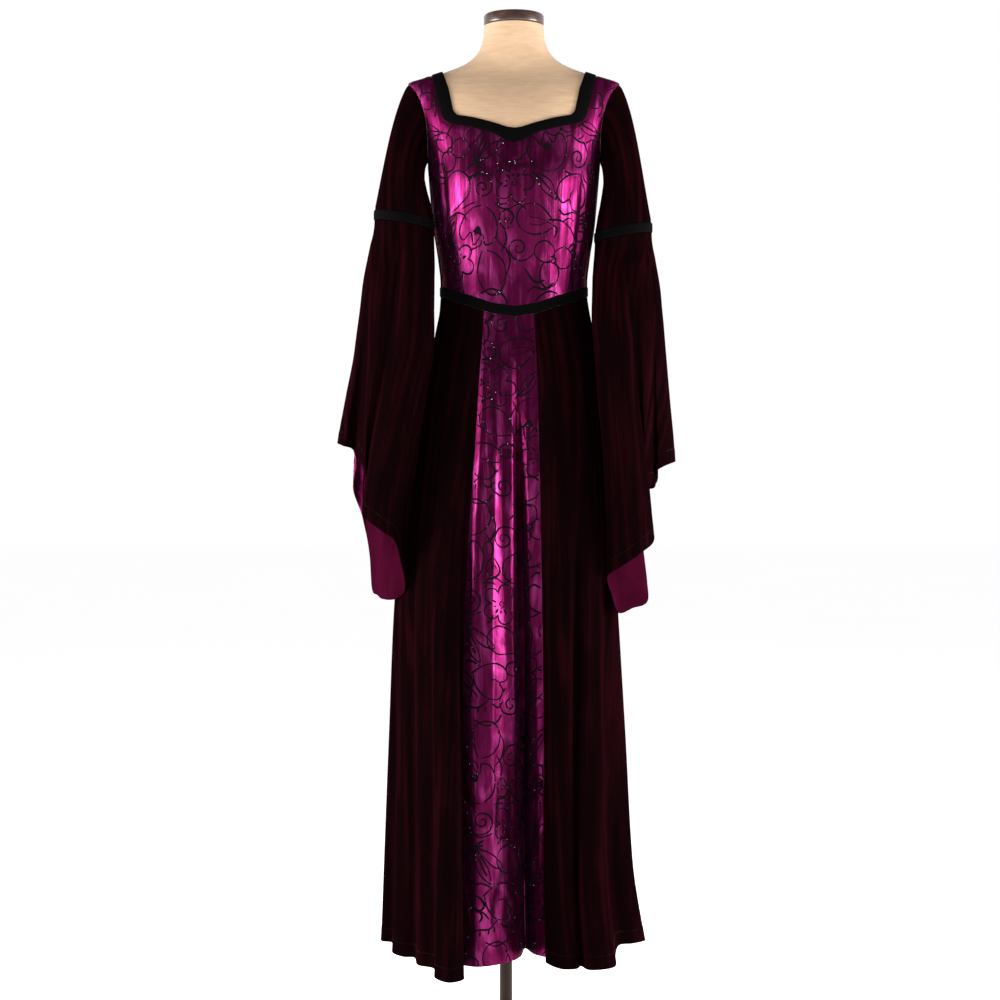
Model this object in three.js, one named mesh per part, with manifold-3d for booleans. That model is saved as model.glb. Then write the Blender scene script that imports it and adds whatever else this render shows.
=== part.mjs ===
import * as THREE from 'three';
import Module from 'manifold-3d';
import { mergeVertices } from 'three/addons/utils/BufferGeometryUtils.js';

// A floor-length velvet dress with bell sleeves, standing on a limbless dress form.
// Millimetres, +Z up. The front of the dress faces -Y, +X is the viewer's right.
// The origin is on the floor, under the middle of the stand's pole.

// Cloth
const WALL = 1.6;
const SEAM_GAP = 0.5;
const SLEEVE_INSET = 0.8;
const BAND_RAISE = 0.8;
const FORM_CLEARANCE = 0.5;

// Stand
const POLE_RADIUS = 10.5;
const BASE_RADIUS = 175;
const BASE_HEIGHT = 14;
const FORM_BOTTOM = 985;
const NECK_TOP = 1666;
const CAP_RADIUS = 49.5;
const CAP_TOP = 1685;
const TOUCH_GAP = 0.3;

// The middle of the figure stands a little to the right of the pole
const BODY_X = 13;

// Mesh density
const BODY_COLUMNS = 40;
const SLEEVE_COLUMNS = 28;
const STEPS_PER_FOLD_ROW = 2;

// Outside of the fitted cloth at each height: half width, depth to the front, depth to the back
const BODY_SECTIONS = [
  { z: 985, half: 132, front: 100, back: 108 },
  { z: 992, half: 136, front: 105, back: 112 },
  { z: 1040, half: 137, front: 106, back: 113 },
  { z: 1110, half: 130, front: 98, back: 98 },
  { z: 1150, half: 123, front: 91, back: 87 },
  { z: 1180, half: 121, front: 90, back: 82 },
  { z: 1240, half: 121, front: 92, back: 82 },
  { z: 1280, half: 125, front: 98, back: 85 },
  { z: 1333, half: 133, front: 108, back: 91 },
  { z: 1396, half: 139, front: 114, back: 97 },
  { z: 1440, half: 143, front: 110, back: 100 },
  { z: 1500, half: 157, front: 99, back: 98 },
  { z: 1535, half: 168, front: 84, back: 93 },
  { z: 1560, half: 174, front: 67, back: 85 },
  { z: 1571, half: 175, front: 57, back: 77 },
  { z: 1578, half: 155, front: 52, back: 71 },
  { z: 1584, half: 136, front: 48, back: 65 },
  { z: 1590, half: 118, front: 45, back: 59 },
  { z: 1604, half: 83, front: 43, back: 52 },
  { z: 1617, half: 66, front: 44, back: 50 },
  { z: 1631, half: 57, front: 46, back: 50 },
  { z: 1650, half: 52, front: 49, back: 51 },
  { z: 1668, half: 51, front: 51, back: 51 },
];
const BUST = { height: 1402, angle: 34, rise: 9, spreadHeight: 42, spreadAngle: 21 };
const BODICE_LEVELS = [1262, 1296, 1332, 1366, 1400, 1434, 1470, 1506, 1538, 1562, 1573, 1584, 1600];
const FORM_LEVELS = [985, 992, 1040, 1100, 1150, 1180, 1210, 1238, ...BODICE_LEVELS, 1612, 1630, NECK_TOP];

// Middle of the waist band at each angle from centre front
const WAIST_LINE = [
  { angle: 0, z: 1189 },
  { angle: 18, z: 1195 },
  { angle: 36, z: 1208 },
  { angle: 72, z: 1225 },
  { angle: 90, z: 1228 },
  { angle: 180, z: 1228 },
];
const WAIST_BAND_WIDTH = 17;

// Neckline, half of it: outer and inner edge of the band, x from the middle of the figure
const NECK_FRONT_OUTER = [
  { x: 0, z: 1458 },
  { x: 14, z: 1463 },
  { x: 40, z: 1477 },
  { x: 75, z: 1487 },
  { x: 104, z: 1494 },
  { x: 115, z: 1503 },
  { x: 124, z: 1533 },
  { x: 135, z: 1584 },
];
const NECK_FRONT_INNER = [
  { x: 0, z: 1482 },
  { x: 12, z: 1484 },
  { x: 35, z: 1492 },
  { x: 65, z: 1501 },
  { x: 92, z: 1507 },
  { x: 99, z: 1515 },
  { x: 107, z: 1555 },
  { x: 118, z: 1590 },
];
const NECK_BACK_OUTER = [
  { x: 0, z: 1533 },
  { x: 45, z: 1537 },
  { x: 85, z: 1550 },
  { x: 115, z: 1567 },
  { x: 135, z: 1584 },
];
const NECK_BACK_INNER = [
  { x: 0, z: 1551 },
  { x: 40, z: 1555 },
  { x: 75, z: 1566 },
  { x: 100, z: 1579 },
  { x: 118, z: 1590 },
];

// Side seams of the bodice, seen from the side: y of the seam at each height
const SIDE_SEAM = [
  { y: -24, z: 1170 },
  { y: -16, z: 1300 },
  { y: -5, z: 1440 },
  { y: 0, z: 1560 },
  { y: 0, z: 1640 },
];

// Armholes, seen from the side
const ARMHOLE = { y: 3, z: 1505, depth: 43, height: 65 };

// Skirt without its folds, by drop below the waist band: reach to the left, right, front and back
const SKIRT_SECTIONS = [
  { drop: 0, left: 121, right: 121, front: 90, back: 82 },
  { drop: 25, left: 123, right: 125, front: 95, back: 91 },
  { drop: 55, left: 129, right: 131, front: 102, back: 100 },
  { drop: 115, left: 140, right: 141, front: 115, back: 115 },
  { drop: 170, left: 148, right: 146, front: 123, back: 127 },
  { drop: 335, left: 175, right: 159, front: 150, back: 156 },
  { drop: 500, left: 197, right: 169, front: 172, back: 180 },
  { drop: 720, left: 206, right: 181, front: 192, back: 200 },
  { drop: 930, left: 214, right: 192, front: 204, back: 210 },
  { drop: 1070, left: 219, right: 213, front: 210, back: 216 },
];

// How far the skirt's folds have opened by that drop
const SKIRT_FOLDING = [
  { drop: 0, share: 0 },
  { drop: 120, share: 0.05 },
  { drop: 215, share: 0.12 },
  { drop: 335, share: 0.26 },
  { drop: 500, share: 0.46 },
  { drop: 720, share: 0.7 },
  { drop: 930, share: 0.88 },
  { drop: 1070, share: 1 },
];
const SKIRT_STEPS = [0, 0.04, 0.1, 0.19, 0.32, 0.48, 0.66, 0.84, 1];

// Lips of the skirt's folds, one row each: where it leaves the waist, then its place at the hem
const SKIRT_FOLDS = [
  { angle: -90, x: -206, y: 0, z: 158 },
  { angle: -84, x: -186, y: -14, z: 157 },
  { angle: -78, x: -183, y: -76, z: 154 },
  { angle: -72, x: -165, y: -101, z: 152 },
  { angle: -66, x: -146, y: -108, z: 152 },
  { angle: -60, x: -139, y: -150, z: 149 },
  { angle: -54, x: -113, y: -168, z: 147 },
  { angle: -47, x: -110, y: -213, z: 142 },
  { angle: -41, x: -88, y: -229, z: 138 },
  { angle: -34, x: -66, y: -210, z: 140 },
  { angle: -29, x: -76, y: -168, z: 145 },
  { angle: -24, x: -75, y: -150, z: 149 },
  { angle: -17, x: -45, y: -168, z: 150 },
  { angle: -10, x: -11, y: -152, z: 151 },
  { angle: -3, x: 21, y: -108, z: 153 },
  { angle: 2, x: 31, y: -42, z: 155 },
  { angle: 7, x: 46, y: -86, z: 154 },
  { angle: 15.5, x: 66, y: -112, z: 153 },
  { angle: 22, x: 63, y: -146, z: 152 },
  { angle: 29, x: 85, y: -184, z: 150 },
  { angle: 36, x: 108, y: -190, z: 151 },
  { angle: 43, x: 117, y: -172, z: 152 },
  { angle: 50, x: 129, y: -197, z: 151 },
  { angle: 57, x: 153, y: -198, z: 152 },
  { angle: 64, x: 171, y: -176, z: 153 },
  { angle: 71, x: 175, y: -96, z: 155 },
  { angle: 78, x: 184, y: -38, z: 158 },
  { angle: 84, x: 208, y: -24, z: 158 },
  { angle: 90, x: 230, y: 4, z: 158 },
  { angle: 98, x: 218, y: 44, z: 156 },
  { angle: 105, x: 194, y: 62, z: 155 },
  { angle: 112, x: 190, y: 86, z: 154 },
  { angle: 119, x: 201, y: 118, z: 153 },
  { angle: 126, x: 178, y: 136, z: 153 },
  { angle: 133, x: 158, y: 140, z: 154 },
  { angle: 140, x: 154, y: 172, z: 152 },
  { angle: 147, x: 132, y: 180, z: 152 },
  { angle: 154, x: 110, y: 160, z: 153 },
  { angle: 160, x: 98, y: 174, z: 152 },
  { angle: 167, x: 84, y: 210, z: 150 },
  { angle: 174, x: 54, y: 216, z: 150 },
  { angle: 181, x: 30, y: 188, z: 152 },
  { angle: 188, x: 4, y: 178, z: 153 },
  { angle: 195, x: -18, y: 203, z: 151 },
  { angle: 202, x: -48, y: 215, z: 150 },
  { angle: 209, x: -70, y: 190, z: 152 },
  { angle: 217, x: -88, y: 160, z: 153 },
  { angle: 225, x: -113, y: 170, z: 153 },
  { angle: 233, x: -139, y: 189, z: 153 },
  { angle: 241, x: -151, y: 150, z: 155 },
  { angle: 249, x: -158, y: 110, z: 157 },
  { angle: 256, x: -189, y: 102, z: 158 },
  { angle: 263, x: -200, y: 48, z: 160 },
];
const SKIRT_PANELS = [
  { name: 'skirt_front_left', from: 0, to: 11 },
  { name: 'skirt_centre_panel', from: 11, to: 17 },
  { name: 'skirt_front_right', from: 17, to: 28 },
  { name: 'skirt_back_right', from: 28, to: 41 },
  { name: 'skirt_back_left', from: 41, to: 53 },
];

// Sleeve bands, tilted: the outer side is higher. Angles run outer 0, front 90, inner 180, back 270
const BAND_WIDTH = 16;
const BAND_TILT = 8;
const SLEEVE_STEPS = [0, 0.07, 0.16, 0.28, 0.42, 0.58, 0.74, 0.88, 1];
const SLEEVE_FOLDING = [
  { drop: 0, share: 0 },
  { drop: 0.3, share: 0.12 },
  { drop: 0.6, share: 0.42 },
  { drop: 0.85, share: 0.8 },
  { drop: 1, share: 1 },
];
const GATHERS = { count: 7, depth: 3.2, end: 0.45 };

const LEFT_ARM = {
  name: 'left',
  side: -1,
  band: { x: -166, y: -40, z: 1341, rx: 48.7, ry: 50 },
  sections: [
    { z: 1341, x: -166, y: -40, rx: 48.7, ry: 50 },
    { z: 1281, x: -169, y: -43, rx: 53.9, ry: 57 },
    { z: 1215, x: -175, y: -52, rx: 59.5, ry: 65 },
    { z: 1130, x: -180, y: -70, rx: 65, ry: 70 },
    { z: 1050, x: -193, y: -82, rx: 66, ry: 75 },
    { z: 978, x: -204, y: -86, rx: 67, ry: 80 },
    { z: 850, x: -214, y: -80, rx: 60, ry: 84 },
    { z: 700, x: -216, y: -60, rx: 58, ry: 88 },
  ],
  folds: [
    { angle: 0, x: -276, y: -20, z: 978 },
    { angle: 20, x: -262, y: -70, z: 972 },
    { angle: 38, x: -247, y: -58, z: 966 },
    { angle: 56, x: -228, y: -100, z: 938 },
    { angle: 73, x: -226, y: -88, z: 912 },
    { angle: 88, x: -230, y: -76, z: 890 },
    { angle: 100, x: -230, y: -106, z: 862 },
    { angle: 115, x: -217, y: -130, z: 850 },
    { angle: 135, x: -193, y: -134, z: 832 },
    { angle: 155, x: -178, y: -118, z: 820 },
    { angle: 175, x: -170, y: -97, z: 790 },
    { angle: 195, x: -163, y: -72, z: 742 },
    { angle: 215, x: -180, y: -48, z: 724 },
    { angle: 235, x: -202, y: -12, z: 722 },
    { angle: 252, x: -213, y: 26, z: 727 },
    { angle: 268, x: -224, y: 60, z: 736 },
    { angle: 282, x: -229, y: 70, z: 795 },
    { angle: 296, x: -241, y: 56, z: 858 },
    { angle: 312, x: -254, y: 36, z: 902 },
    { angle: 328, x: -249, y: 22, z: 938 },
    { angle: 344, x: -253, y: 2, z: 968 },
  ],
  gusset: { from: 17, to: 20 },
};

const RIGHT_ARM = {
  name: 'right',
  side: 1,
  band: { x: 191.5, y: -35, z: 1321, rx: 46.5, ry: 48 },
  sections: [
    { z: 1321, x: 191.5, y: -35, rx: 46.5, ry: 48 },
    { z: 1281, x: 191.5, y: -38, rx: 50.5, ry: 54 },
    { z: 1215, x: 195, y: -48, rx: 55, ry: 62 },
    { z: 1159, x: 198, y: -64, rx: 58, ry: 66 },
    { z: 1050, x: 205, y: -84, rx: 58, ry: 72 },
    { z: 960, x: 213, y: -88, rx: 57, ry: 78 },
    { z: 850, x: 218, y: -84, rx: 54, ry: 84 },
    { z: 680, x: 222, y: -60, rx: 50, ry: 88 },
  ],
  folds: [
    { angle: 0, x: 277, y: -20, z: 948 },
    { angle: 20, x: 262, y: -72, z: 944 },
    { angle: 38, x: 244, y: -86, z: 936 },
    { angle: 52, x: 244, y: -66, z: 914 },
    { angle: 68, x: 222, y: -104, z: 900 },
    { angle: 84, x: 228, y: -80, z: 862 },
    { angle: 98, x: 237, y: -102, z: 822 },
    { angle: 114, x: 213, y: -132, z: 800 },
    { angle: 135, x: 182, y: -130, z: 778 },
    { angle: 155, x: 162, y: -104, z: 762 },
    { angle: 175, x: 169, y: -80, z: 735 },
    { angle: 195, x: 182, y: -54, z: 702 },
    { angle: 212, x: 206, y: -34, z: 708 },
    { angle: 230, x: 234, y: -4, z: 722 },
    { angle: 247, x: 225, y: 30, z: 788 },
    { angle: 262, x: 240, y: 56, z: 815 },
    { angle: 276, x: 236, y: 70, z: 858 },
    { angle: 292, x: 233, y: 66, z: 898 },
    { angle: 309, x: 247, y: 50, z: 905 },
    { angle: 326, x: 249, y: 28, z: 915 },
    { angle: 343, x: 250, y: 4, z: 934 },
  ],
};

// Curves through tables

// A smooth curve through one column of a table that never overshoots its rows
function columnCurve(table, key, column) {
  const slopes = table.slice(1).map((row, i) => {
    const before = table[i];
    return (row[column] - before[column]) / (row[key] - before[key]);
  });
  const tangents = table.map((row, i) => {
    if (i === 0) return slopes[0];
    if (i === table.length - 1) return slopes[i - 1];
    const product = slopes[i - 1] * slopes[i];
    return product <= 0 ? 0 : (2 * product) / (slopes[i - 1] + slopes[i]);
  });
  return (at) => {
    const place = THREE.MathUtils.clamp(at, table[0][key], table[table.length - 1][key]);
    let i = 0;
    while (i < table.length - 2 && place > table[i + 1][key]) i += 1;
    const span = table[i + 1][key] - table[i][key];
    const t = (place - table[i][key]) / span;
    const rise = table[i + 1][column] - table[i][column];
    const bend = t * (1 - t);
    const smooth = t * t * (3 - 2 * t);
    return table[i][column] + rise * smooth + span * bend * (tangents[i] * (1 - t) - tangents[i + 1] * t);
  };
}

function columnCurves(table, key, columns) {
  return Object.fromEntries(columns.map((column) => [column, columnCurve(table, key, column)]));
}

// A closed curve through the rows of a fold table: row numbers in, one column's value out
function foldCurve(folds, column, turn = 0) {
  const count = folds.length;
  const value = (i) => folds[((i % count) + count) % count][column] + turn * Math.floor(i / count);
  return (place) => {
    const i = Math.floor(place);
    const t = place - i;
    const [a, b, c, d] = [value(i - 1), value(i), value(i + 1), value(i + 2)];
    const linear = b + (c - b) * t;
    const pull = (t * (1 - t)) / 2;
    return linear + pull * ((c - a) * (1 - t) - (d - b) * t - 2 * (c - b) * (1 - 2 * t));
  };
}

function rowsBetween(from, to, steps) {
  return Array.from({ length: steps + 1 }, (_, i) => from + ((to - from) * i) / steps);
}

const radians = THREE.MathUtils.degToRad;

// Walls of cloth

function normalAt(surface, a, b, facing) {
  const step = 0.001;
  const along = surface(a + step, b).sub(surface(a - step, b));
  const across = surface(a, b + step).sub(surface(a, b - step));
  return along.cross(across).normalize().multiplyScalar(facing);
}

// Outer points lie on the surface, moved out by raise. Inner points are one wall further in
function wallPoints(surface, columns, rows, { facing = 1, raise = 0 } = {}) {
  const outer = [];
  const inner = [];
  for (const a of columns) {
    const normals = rows.map((b) => normalAt(surface, a, b, facing));
    outer.push(rows.map((b, j) => surface(a, b).addScaledVector(normals[j], raise)));
    inner.push(rows.map((b, j) => surface(a, b).addScaledVector(normals[j], -WALL)));
  }
  return { outer, inner };
}

// Each cut edge stands back by half the seam gap
function standBackFromSeams({ outer, inner }, closed) {
  const moves = [];
  const back = SEAM_GAP / 2;
  const last = outer.length - 1;
  const lastRow = outer[0].length - 1;
  const plan = (i, j, toI, toJ) => {
    const shift = outer[toI][toJ].clone().sub(outer[i][j]);
    if (toJ === j) {
      const seam = outer[i][j < lastRow ? j + 1 : j - 1].clone().sub(outer[i][j]).normalize();
      shift.addScaledVector(seam, -shift.dot(seam));
    }
    moves.push({ i, j, shift: shift.setLength(back) });
  };
  for (let i = 0; i <= last; i += 1) {
    plan(i, 0, i, 1);
    plan(i, lastRow, i, lastRow - 1);
  }
  if (!closed) {
    for (let j = 0; j <= lastRow; j += 1) {
      plan(0, j, 1, j);
      plan(last, j, last - 1, j);
    }
  }
  for (const { i, j, shift } of moves) {
    outer[i][j].add(shift);
    inner[i][j].add(shift);
  }
}

function indexedGeometry(vertices, triangles) {
  let volume = 0;
  for (const [a, b, c] of triangles) {
    volume += vertices[a].dot(vertices[b].clone().cross(vertices[c]));
  }
  const faces = volume < 0 ? triangles.map(([a, b, c]) => [a, c, b]) : triangles;
  const geometry = new THREE.BufferGeometry();
  const numbers = vertices.flatMap((vertex) => vertex.toArray());
  geometry.setAttribute('position', new THREE.Float32BufferAttribute(numbers, 3));
  geometry.setIndex(faces.flat());
  return geometry;
}

function wallGeometry({ outer, inner }, closed) {
  const columns = outer.length;
  const rows = outer[0].length;
  const spans = closed ? columns : columns - 1;
  const outside = (i, j) => (i % columns) * rows + j;
  const inside = (i, j) => columns * rows + outside(i, j);
  const triangles = [];
  const quad = (a, b, c, d) => triangles.push([a, b, c], [a, c, d]);
  for (let i = 0; i < spans; i += 1) {
    for (let j = 0; j < rows - 1; j += 1) {
      quad(outside(i, j), outside(i + 1, j), outside(i + 1, j + 1), outside(i, j + 1));
      quad(inside(i, j), inside(i, j + 1), inside(i + 1, j + 1), inside(i + 1, j));
    }
    quad(inside(i, 0), inside(i + 1, 0), outside(i + 1, 0), outside(i, 0));
    quad(outside(i, rows - 1), outside(i + 1, rows - 1), inside(i + 1, rows - 1), inside(i, rows - 1));
  }
  if (!closed) {
    const last = columns - 1;
    for (let j = 0; j < rows - 1; j += 1) {
      quad(outside(0, j), outside(0, j + 1), inside(0, j + 1), inside(0, j));
      quad(inside(last, j), inside(last, j + 1), outside(last, j + 1), outside(last, j));
    }
  }
  return indexedGeometry([...outer.flat(), ...inner.flat()], triangles);
}

function clothWall(surface, columns, rows, { closed = false, facing = 1, raise = 0 } = {}) {
  const points = wallPoints(surface, columns, rows, { facing, raise });
  standBackFromSeams(points, closed);
  return wallGeometry(points, closed);
}

// Cuts and joins

const wasm = await Module();
wasm.setup();

function toSolid(geometry) {
  const bare = geometry.clone();
  bare.deleteAttribute('normal');
  bare.deleteAttribute('uv');
  const merged = mergeVertices(bare, 1e-4);
  const mesh = new wasm.Mesh({
    numProp: 3,
    vertProperties: merged.attributes.position.array,
    triVerts: Uint32Array.from(merged.index.array),
  });
  return new wasm.Manifold(mesh);
}

function toGeometry(solid) {
  const mesh = solid.getMesh();
  const geometry = new THREE.BufferGeometry();
  geometry.setAttribute('position', new THREE.BufferAttribute(mesh.vertProperties, mesh.numProp));
  geometry.setIndex(new THREE.BufferAttribute(mesh.triVerts, 1));
  return geometry;
}

// An outline in X and Z, swept along Y
function prismAlongY(outline, fromY, toY) {
  const shape = new THREE.Shape(outline.map(([x, z]) => new THREE.Vector2(x, z)));
  const geometry = new THREE.ExtrudeGeometry(shape, { depth: toY - fromY, bevelEnabled: false });
  geometry.rotateX(Math.PI / 2);
  geometry.translate(0, toY, 0);
  return toSolid(geometry);
}

// An outline in Y and Z, swept along X
function prismAlongX(outline, fromX, toX) {
  const shape = new THREE.Shape(outline.map(([y, z]) => new THREE.Vector2(y, z)));
  const geometry = new THREE.ExtrudeGeometry(shape, { depth: toX - fromX, bevelEnabled: false });
  geometry.applyMatrix4(new THREE.Matrix4().set(0, 0, 1, fromX, 1, 0, 0, 0, 0, 1, 0, 0, 0, 0, 0, 1));
  return toSolid(geometry);
}

// The figure, where the cloth lies close to it

const body = columnCurves(BODY_SECTIONS, 'z', ['half', 'front', 'back']);

function bustRise(angle, z) {
  const aside = (Math.abs(angle) - BUST.angle) / BUST.spreadAngle;
  const above = (z - BUST.height) / BUST.spreadHeight;
  return BUST.rise * Math.exp(-aside * aside - above * above);
}

// Angle in degrees from centre front, towards +X
function bodySurface(angle, z) {
  const turn = radians(angle);
  const depth = Math.cos(turn) > 0 ? body.front(z) : body.back(z);
  const rise = 1 + bustRise(angle, z) / depth;
  return new THREE.Vector3(BODY_X + body.half(z) * Math.sin(turn), -depth * Math.cos(turn), z).multiply(
    new THREE.Vector3(1, rise, 1),
  );
}

const waistLine = (angle) => {
  const from = Math.abs(((((angle + 180) % 360) + 360) % 360) - 180);
  let i = 0;
  while (i < WAIST_LINE.length - 2 && from > WAIST_LINE[i + 1].angle) i += 1;
  const share = (from - WAIST_LINE[i].angle) / (WAIST_LINE[i + 1].angle - WAIST_LINE[i].angle);
  return THREE.MathUtils.lerp(WAIST_LINE[i].z, WAIST_LINE[i + 1].z, share);
};
const waistTop = (angle) => waistLine(angle) + WAIST_BAND_WIDTH / 2;
const waistBottom = (angle) => waistLine(angle) - WAIST_BAND_WIDTH / 2;

const bodyAngles = rowsBetween(-180, 180, BODY_COLUMNS).slice(0, -1);

// Bodice level 0 is the top of the waist band, the others are heights in the table
function bodiceSurface(angle, level) {
  const base = waistTop(angle);
  return bodySurface(angle, level <= 1 ? base + (BODICE_LEVELS[0] - base) * level : level);
}

function bodiceWall(raise) {
  const rows = [0, ...BODICE_LEVELS];
  return toSolid(clothWall(bodiceSurface, bodyAngles, rows, { closed: true, raise }));
}

const mirrored = (half) => [...half.slice(1).reverse().map(({ x, z }) => ({ x: -x, z })), ...half];

function neckOutline(half) {
  const top = NECK_TOP;
  const topX = half[half.length - 1].x + 12;
  const rim = mirrored(half).map(({ x, z }) => [BODY_X + x, z]);
  return [[BODY_X - topX, top], ...rim, [BODY_X + topX, top]];
}

function widened(half, by) {
  return half.map(({ x, z }, i) => {
    const before = half[Math.max(i - 1, 0)];
    const after = half[Math.min(i + 1, half.length - 1)];
    const run = new THREE.Vector2(after.x - before.x, after.z - before.z).normalize();
    return { x: i === 0 ? 0 : x + run.y * by, z: z - run.x * by };
  });
}

function neckHole(frontHalf, backHalf) {
  const reach = 300;
  const front = prismAlongY(neckOutline(frontHalf), -reach, 0);
  const back = prismAlongY(neckOutline(backHalf), 0, reach);
  return front.add(back);
}

function armholePrism(side) {
  const points = rowsBetween(0, 360, SLEEVE_COLUMNS).slice(0, -1);
  const outline = points.map((angle) => [
    ARMHOLE.y - ARMHOLE.depth * Math.sin(radians(angle)),
    ARMHOLE.z + ARMHOLE.height * Math.cos(radians(angle)),
  ]);
  const reach = 260;
  const start = 90;
  const fromX = side > 0 ? BODY_X + start : BODY_X - reach;
  return prismAlongX(outline, fromX, fromX + reach - start);
}

function seamSide(direction) {
  const reach = 300;
  const line = SIDE_SEAM.map(({ y, z }) => [y + (direction * SEAM_GAP) / 2, z]);
  const bottom = line[0][1] - 20;
  const top = line[line.length - 1][1];
  const far = direction * reach;
  return prismAlongX([[far, bottom], [line[0][0], bottom], ...line, [far, top]], -reach, reach);
}

const bodiceShell = bodiceWall(0)
  .subtract(neckHole(widened(NECK_FRONT_OUTER, SEAM_GAP / 2), widened(NECK_BACK_OUTER, SEAM_GAP / 2)))
  .subtract(armholePrism(-1))
  .subtract(armholePrism(1));

function neckTrimGeometry() {
  const ring = bodiceWall(BAND_RAISE)
    .intersect(neckHole(widened(NECK_FRONT_OUTER, -SEAM_GAP / 2), widened(NECK_BACK_OUTER, -SEAM_GAP / 2)))
    .subtract(neckHole(NECK_FRONT_INNER, NECK_BACK_INNER));
  return toGeometry(ring);
}

function waistTrimGeometry() {
  const height = (angle, share) => THREE.MathUtils.lerp(waistBottom(angle), waistTop(angle), share);
  const surface = (angle, share) => bodySurface(angle, height(angle, share));
  return clothWall(surface, bodyAngles, [0, 0.5, 1], { closed: true, raise: BAND_RAISE });
}

// Sleeves

const upDown = new THREE.Vector3(0, 0, 1);

function armholePoint(arm, angle) {
  const turn = radians(angle);
  const y = ARMHOLE.y - (ARMHOLE.depth - SLEEVE_INSET) * Math.sin(turn);
  const z = ARMHOLE.z + (ARMHOLE.height - SLEEVE_INSET) * Math.cos(turn);
  const depth = y < 0 ? body.front(z) : body.back(z);
  const x = body.half(z) * Math.sqrt(Math.max(0, 1 - (y / depth) ** 2));
  return new THREE.Vector3(BODY_X + arm.side * x, y, z);
}

function bandPoint(arm, angle, height) {
  const turn = radians(angle);
  const { x, y, z, rx, ry } = arm.band;
  const place = new THREE.Vector3(x + arm.side * rx * Math.cos(turn), y - ry * Math.sin(turn), z);
  return place.addScaledVector(upDown, height + BAND_TILT * Math.cos(turn));
}

function upperSleeveSurface(arm, angle, share) {
  const lean = Math.cos(radians(angle));
  const start = armholePoint(arm, angle);
  const end = bandPoint(arm, angle, BAND_WIDTH / 2);
  const leave = new THREE.Vector3(arm.side * (62 + 16 * lean), 6 * lean - 6, -85 - 45 * lean);
  const arrive = new THREE.Vector3(arm.side * (12 + 33 * lean), 0, -160 - 55 * lean);
  const s2 = share * share;
  const s3 = s2 * share;
  return start
    .multiplyScalar(2 * s3 - 3 * s2 + 1)
    .addScaledVector(leave, s3 - 2 * s2 + share)
    .addScaledVector(end, 3 * s2 - 2 * s3)
    .addScaledVector(arrive, s3 - s2);
}

const sleeveAngles = rowsBetween(0, 360, SLEEVE_COLUMNS).slice(0, -1);

function upperSleeveGeometry(arm) {
  const surface = (angle, share) => upperSleeveSurface(arm, angle, share);
  const rows = [0, 0.1, 0.22, 0.4, 0.65, 1];
  return clothWall(surface, sleeveAngles, rows, { closed: true, facing: arm.side });
}

function sleeveBandGeometry(arm) {
  const surface = (angle, height) => bandPoint(arm, angle, height);
  const rows = [-BAND_WIDTH / 2, BAND_WIDTH / 2];
  return clothWall(surface, sleeveAngles, rows, { closed: true, facing: -arm.side, raise: BAND_RAISE });
}

// Hanging cloth: plain sections give the fall, the fold table says where each lip ends at the hem

const sleeveFolding = columnCurve(SLEEVE_FOLDING, 'drop', 'share');

function lowerSleeve(arm) {
  const section = columnCurves([...arm.sections].reverse(), 'z', ['x', 'y', 'rx', 'ry']);
  const angleAt = foldCurve(arm.folds, 'angle', 360);
  const hem = { x: foldCurve(arm.folds, 'x'), y: foldCurve(arm.folds, 'y'), z: foldCurve(arm.folds, 'z') };
  const plain = (angle, z) => {
    const turn = radians(angle);
    const x = section.x(z) + arm.side * section.rx(z) * Math.cos(turn);
    return new THREE.Vector3(x, section.y(z) - section.ry(z) * Math.sin(turn), z);
  };
  return (place, share) => {
    const angle = angleAt(place);
    const top = bandPoint(arm, angle, -BAND_WIDTH / 2);
    const z = THREE.MathUtils.lerp(top.z, hem.z(place), share);
    const edge = new THREE.Vector3(hem.x(place), hem.y(place), hem.z(place));
    const fold = edge.sub(plain(angle, hem.z(place))).multiplyScalar(sleeveFolding(Math.max(share, 0)));
    const settle = THREE.MathUtils.clamp(share / 0.1, 0, 1);
    const hang = plain(angle, z).sub(new THREE.Vector3(top.x, top.y, z)).multiplyScalar(settle);
    const rise = Math.sin(Math.PI * THREE.MathUtils.clamp(share / GATHERS.end, 0, 1)) ** 2;
    const gather = GATHERS.depth * rise * Math.cos(radians(angle) * GATHERS.count);
    const outward = new THREE.Vector3(arm.side * Math.cos(radians(angle)), -Math.sin(radians(angle)), 0);
    return new THREE.Vector3(top.x, top.y, z).add(hang).add(fold).addScaledVector(outward, gather);
  };
}

function hangingPanel(surface, from, to, steps, options) {
  const columns = rowsBetween(from, to, Math.round((to - from) * STEPS_PER_FOLD_ROW));
  return clothWall(surface, columns, steps, options);
}

function lowerSleeveGeometries(arm) {
  const surface = lowerSleeve(arm);
  const facing = arm.side;
  const count = arm.folds.length;
  const name = `lower_sleeve_${arm.name}`;
  if (!arm.gusset) {
    const columns = rowsBetween(0, count, count * STEPS_PER_FOLD_ROW).slice(0, -1);
    return { [name]: clothWall(surface, columns, SLEEVE_STEPS, { closed: true, facing }) };
  }
  const { from, to } = arm.gusset;
  return {
    [name]: hangingPanel(surface, to - count, from, SLEEVE_STEPS, { facing }),
    [`sleeve_gusset_${arm.name}`]: hangingPanel(surface, from, to, SLEEVE_STEPS, { facing }),
  };
}

const skirtPlain = columnCurves(SKIRT_SECTIONS, 'drop', ['left', 'right', 'front', 'back']);
const skirtFolding = columnCurve(SKIRT_FOLDING, 'drop', 'share');
const skirtAngle = foldCurve(SKIRT_FOLDS, 'angle', 360);
const skirtHem = {
  x: foldCurve(SKIRT_FOLDS, 'x'),
  y: foldCurve(SKIRT_FOLDS, 'y'),
  z: foldCurve(SKIRT_FOLDS, 'z'),
};

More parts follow.
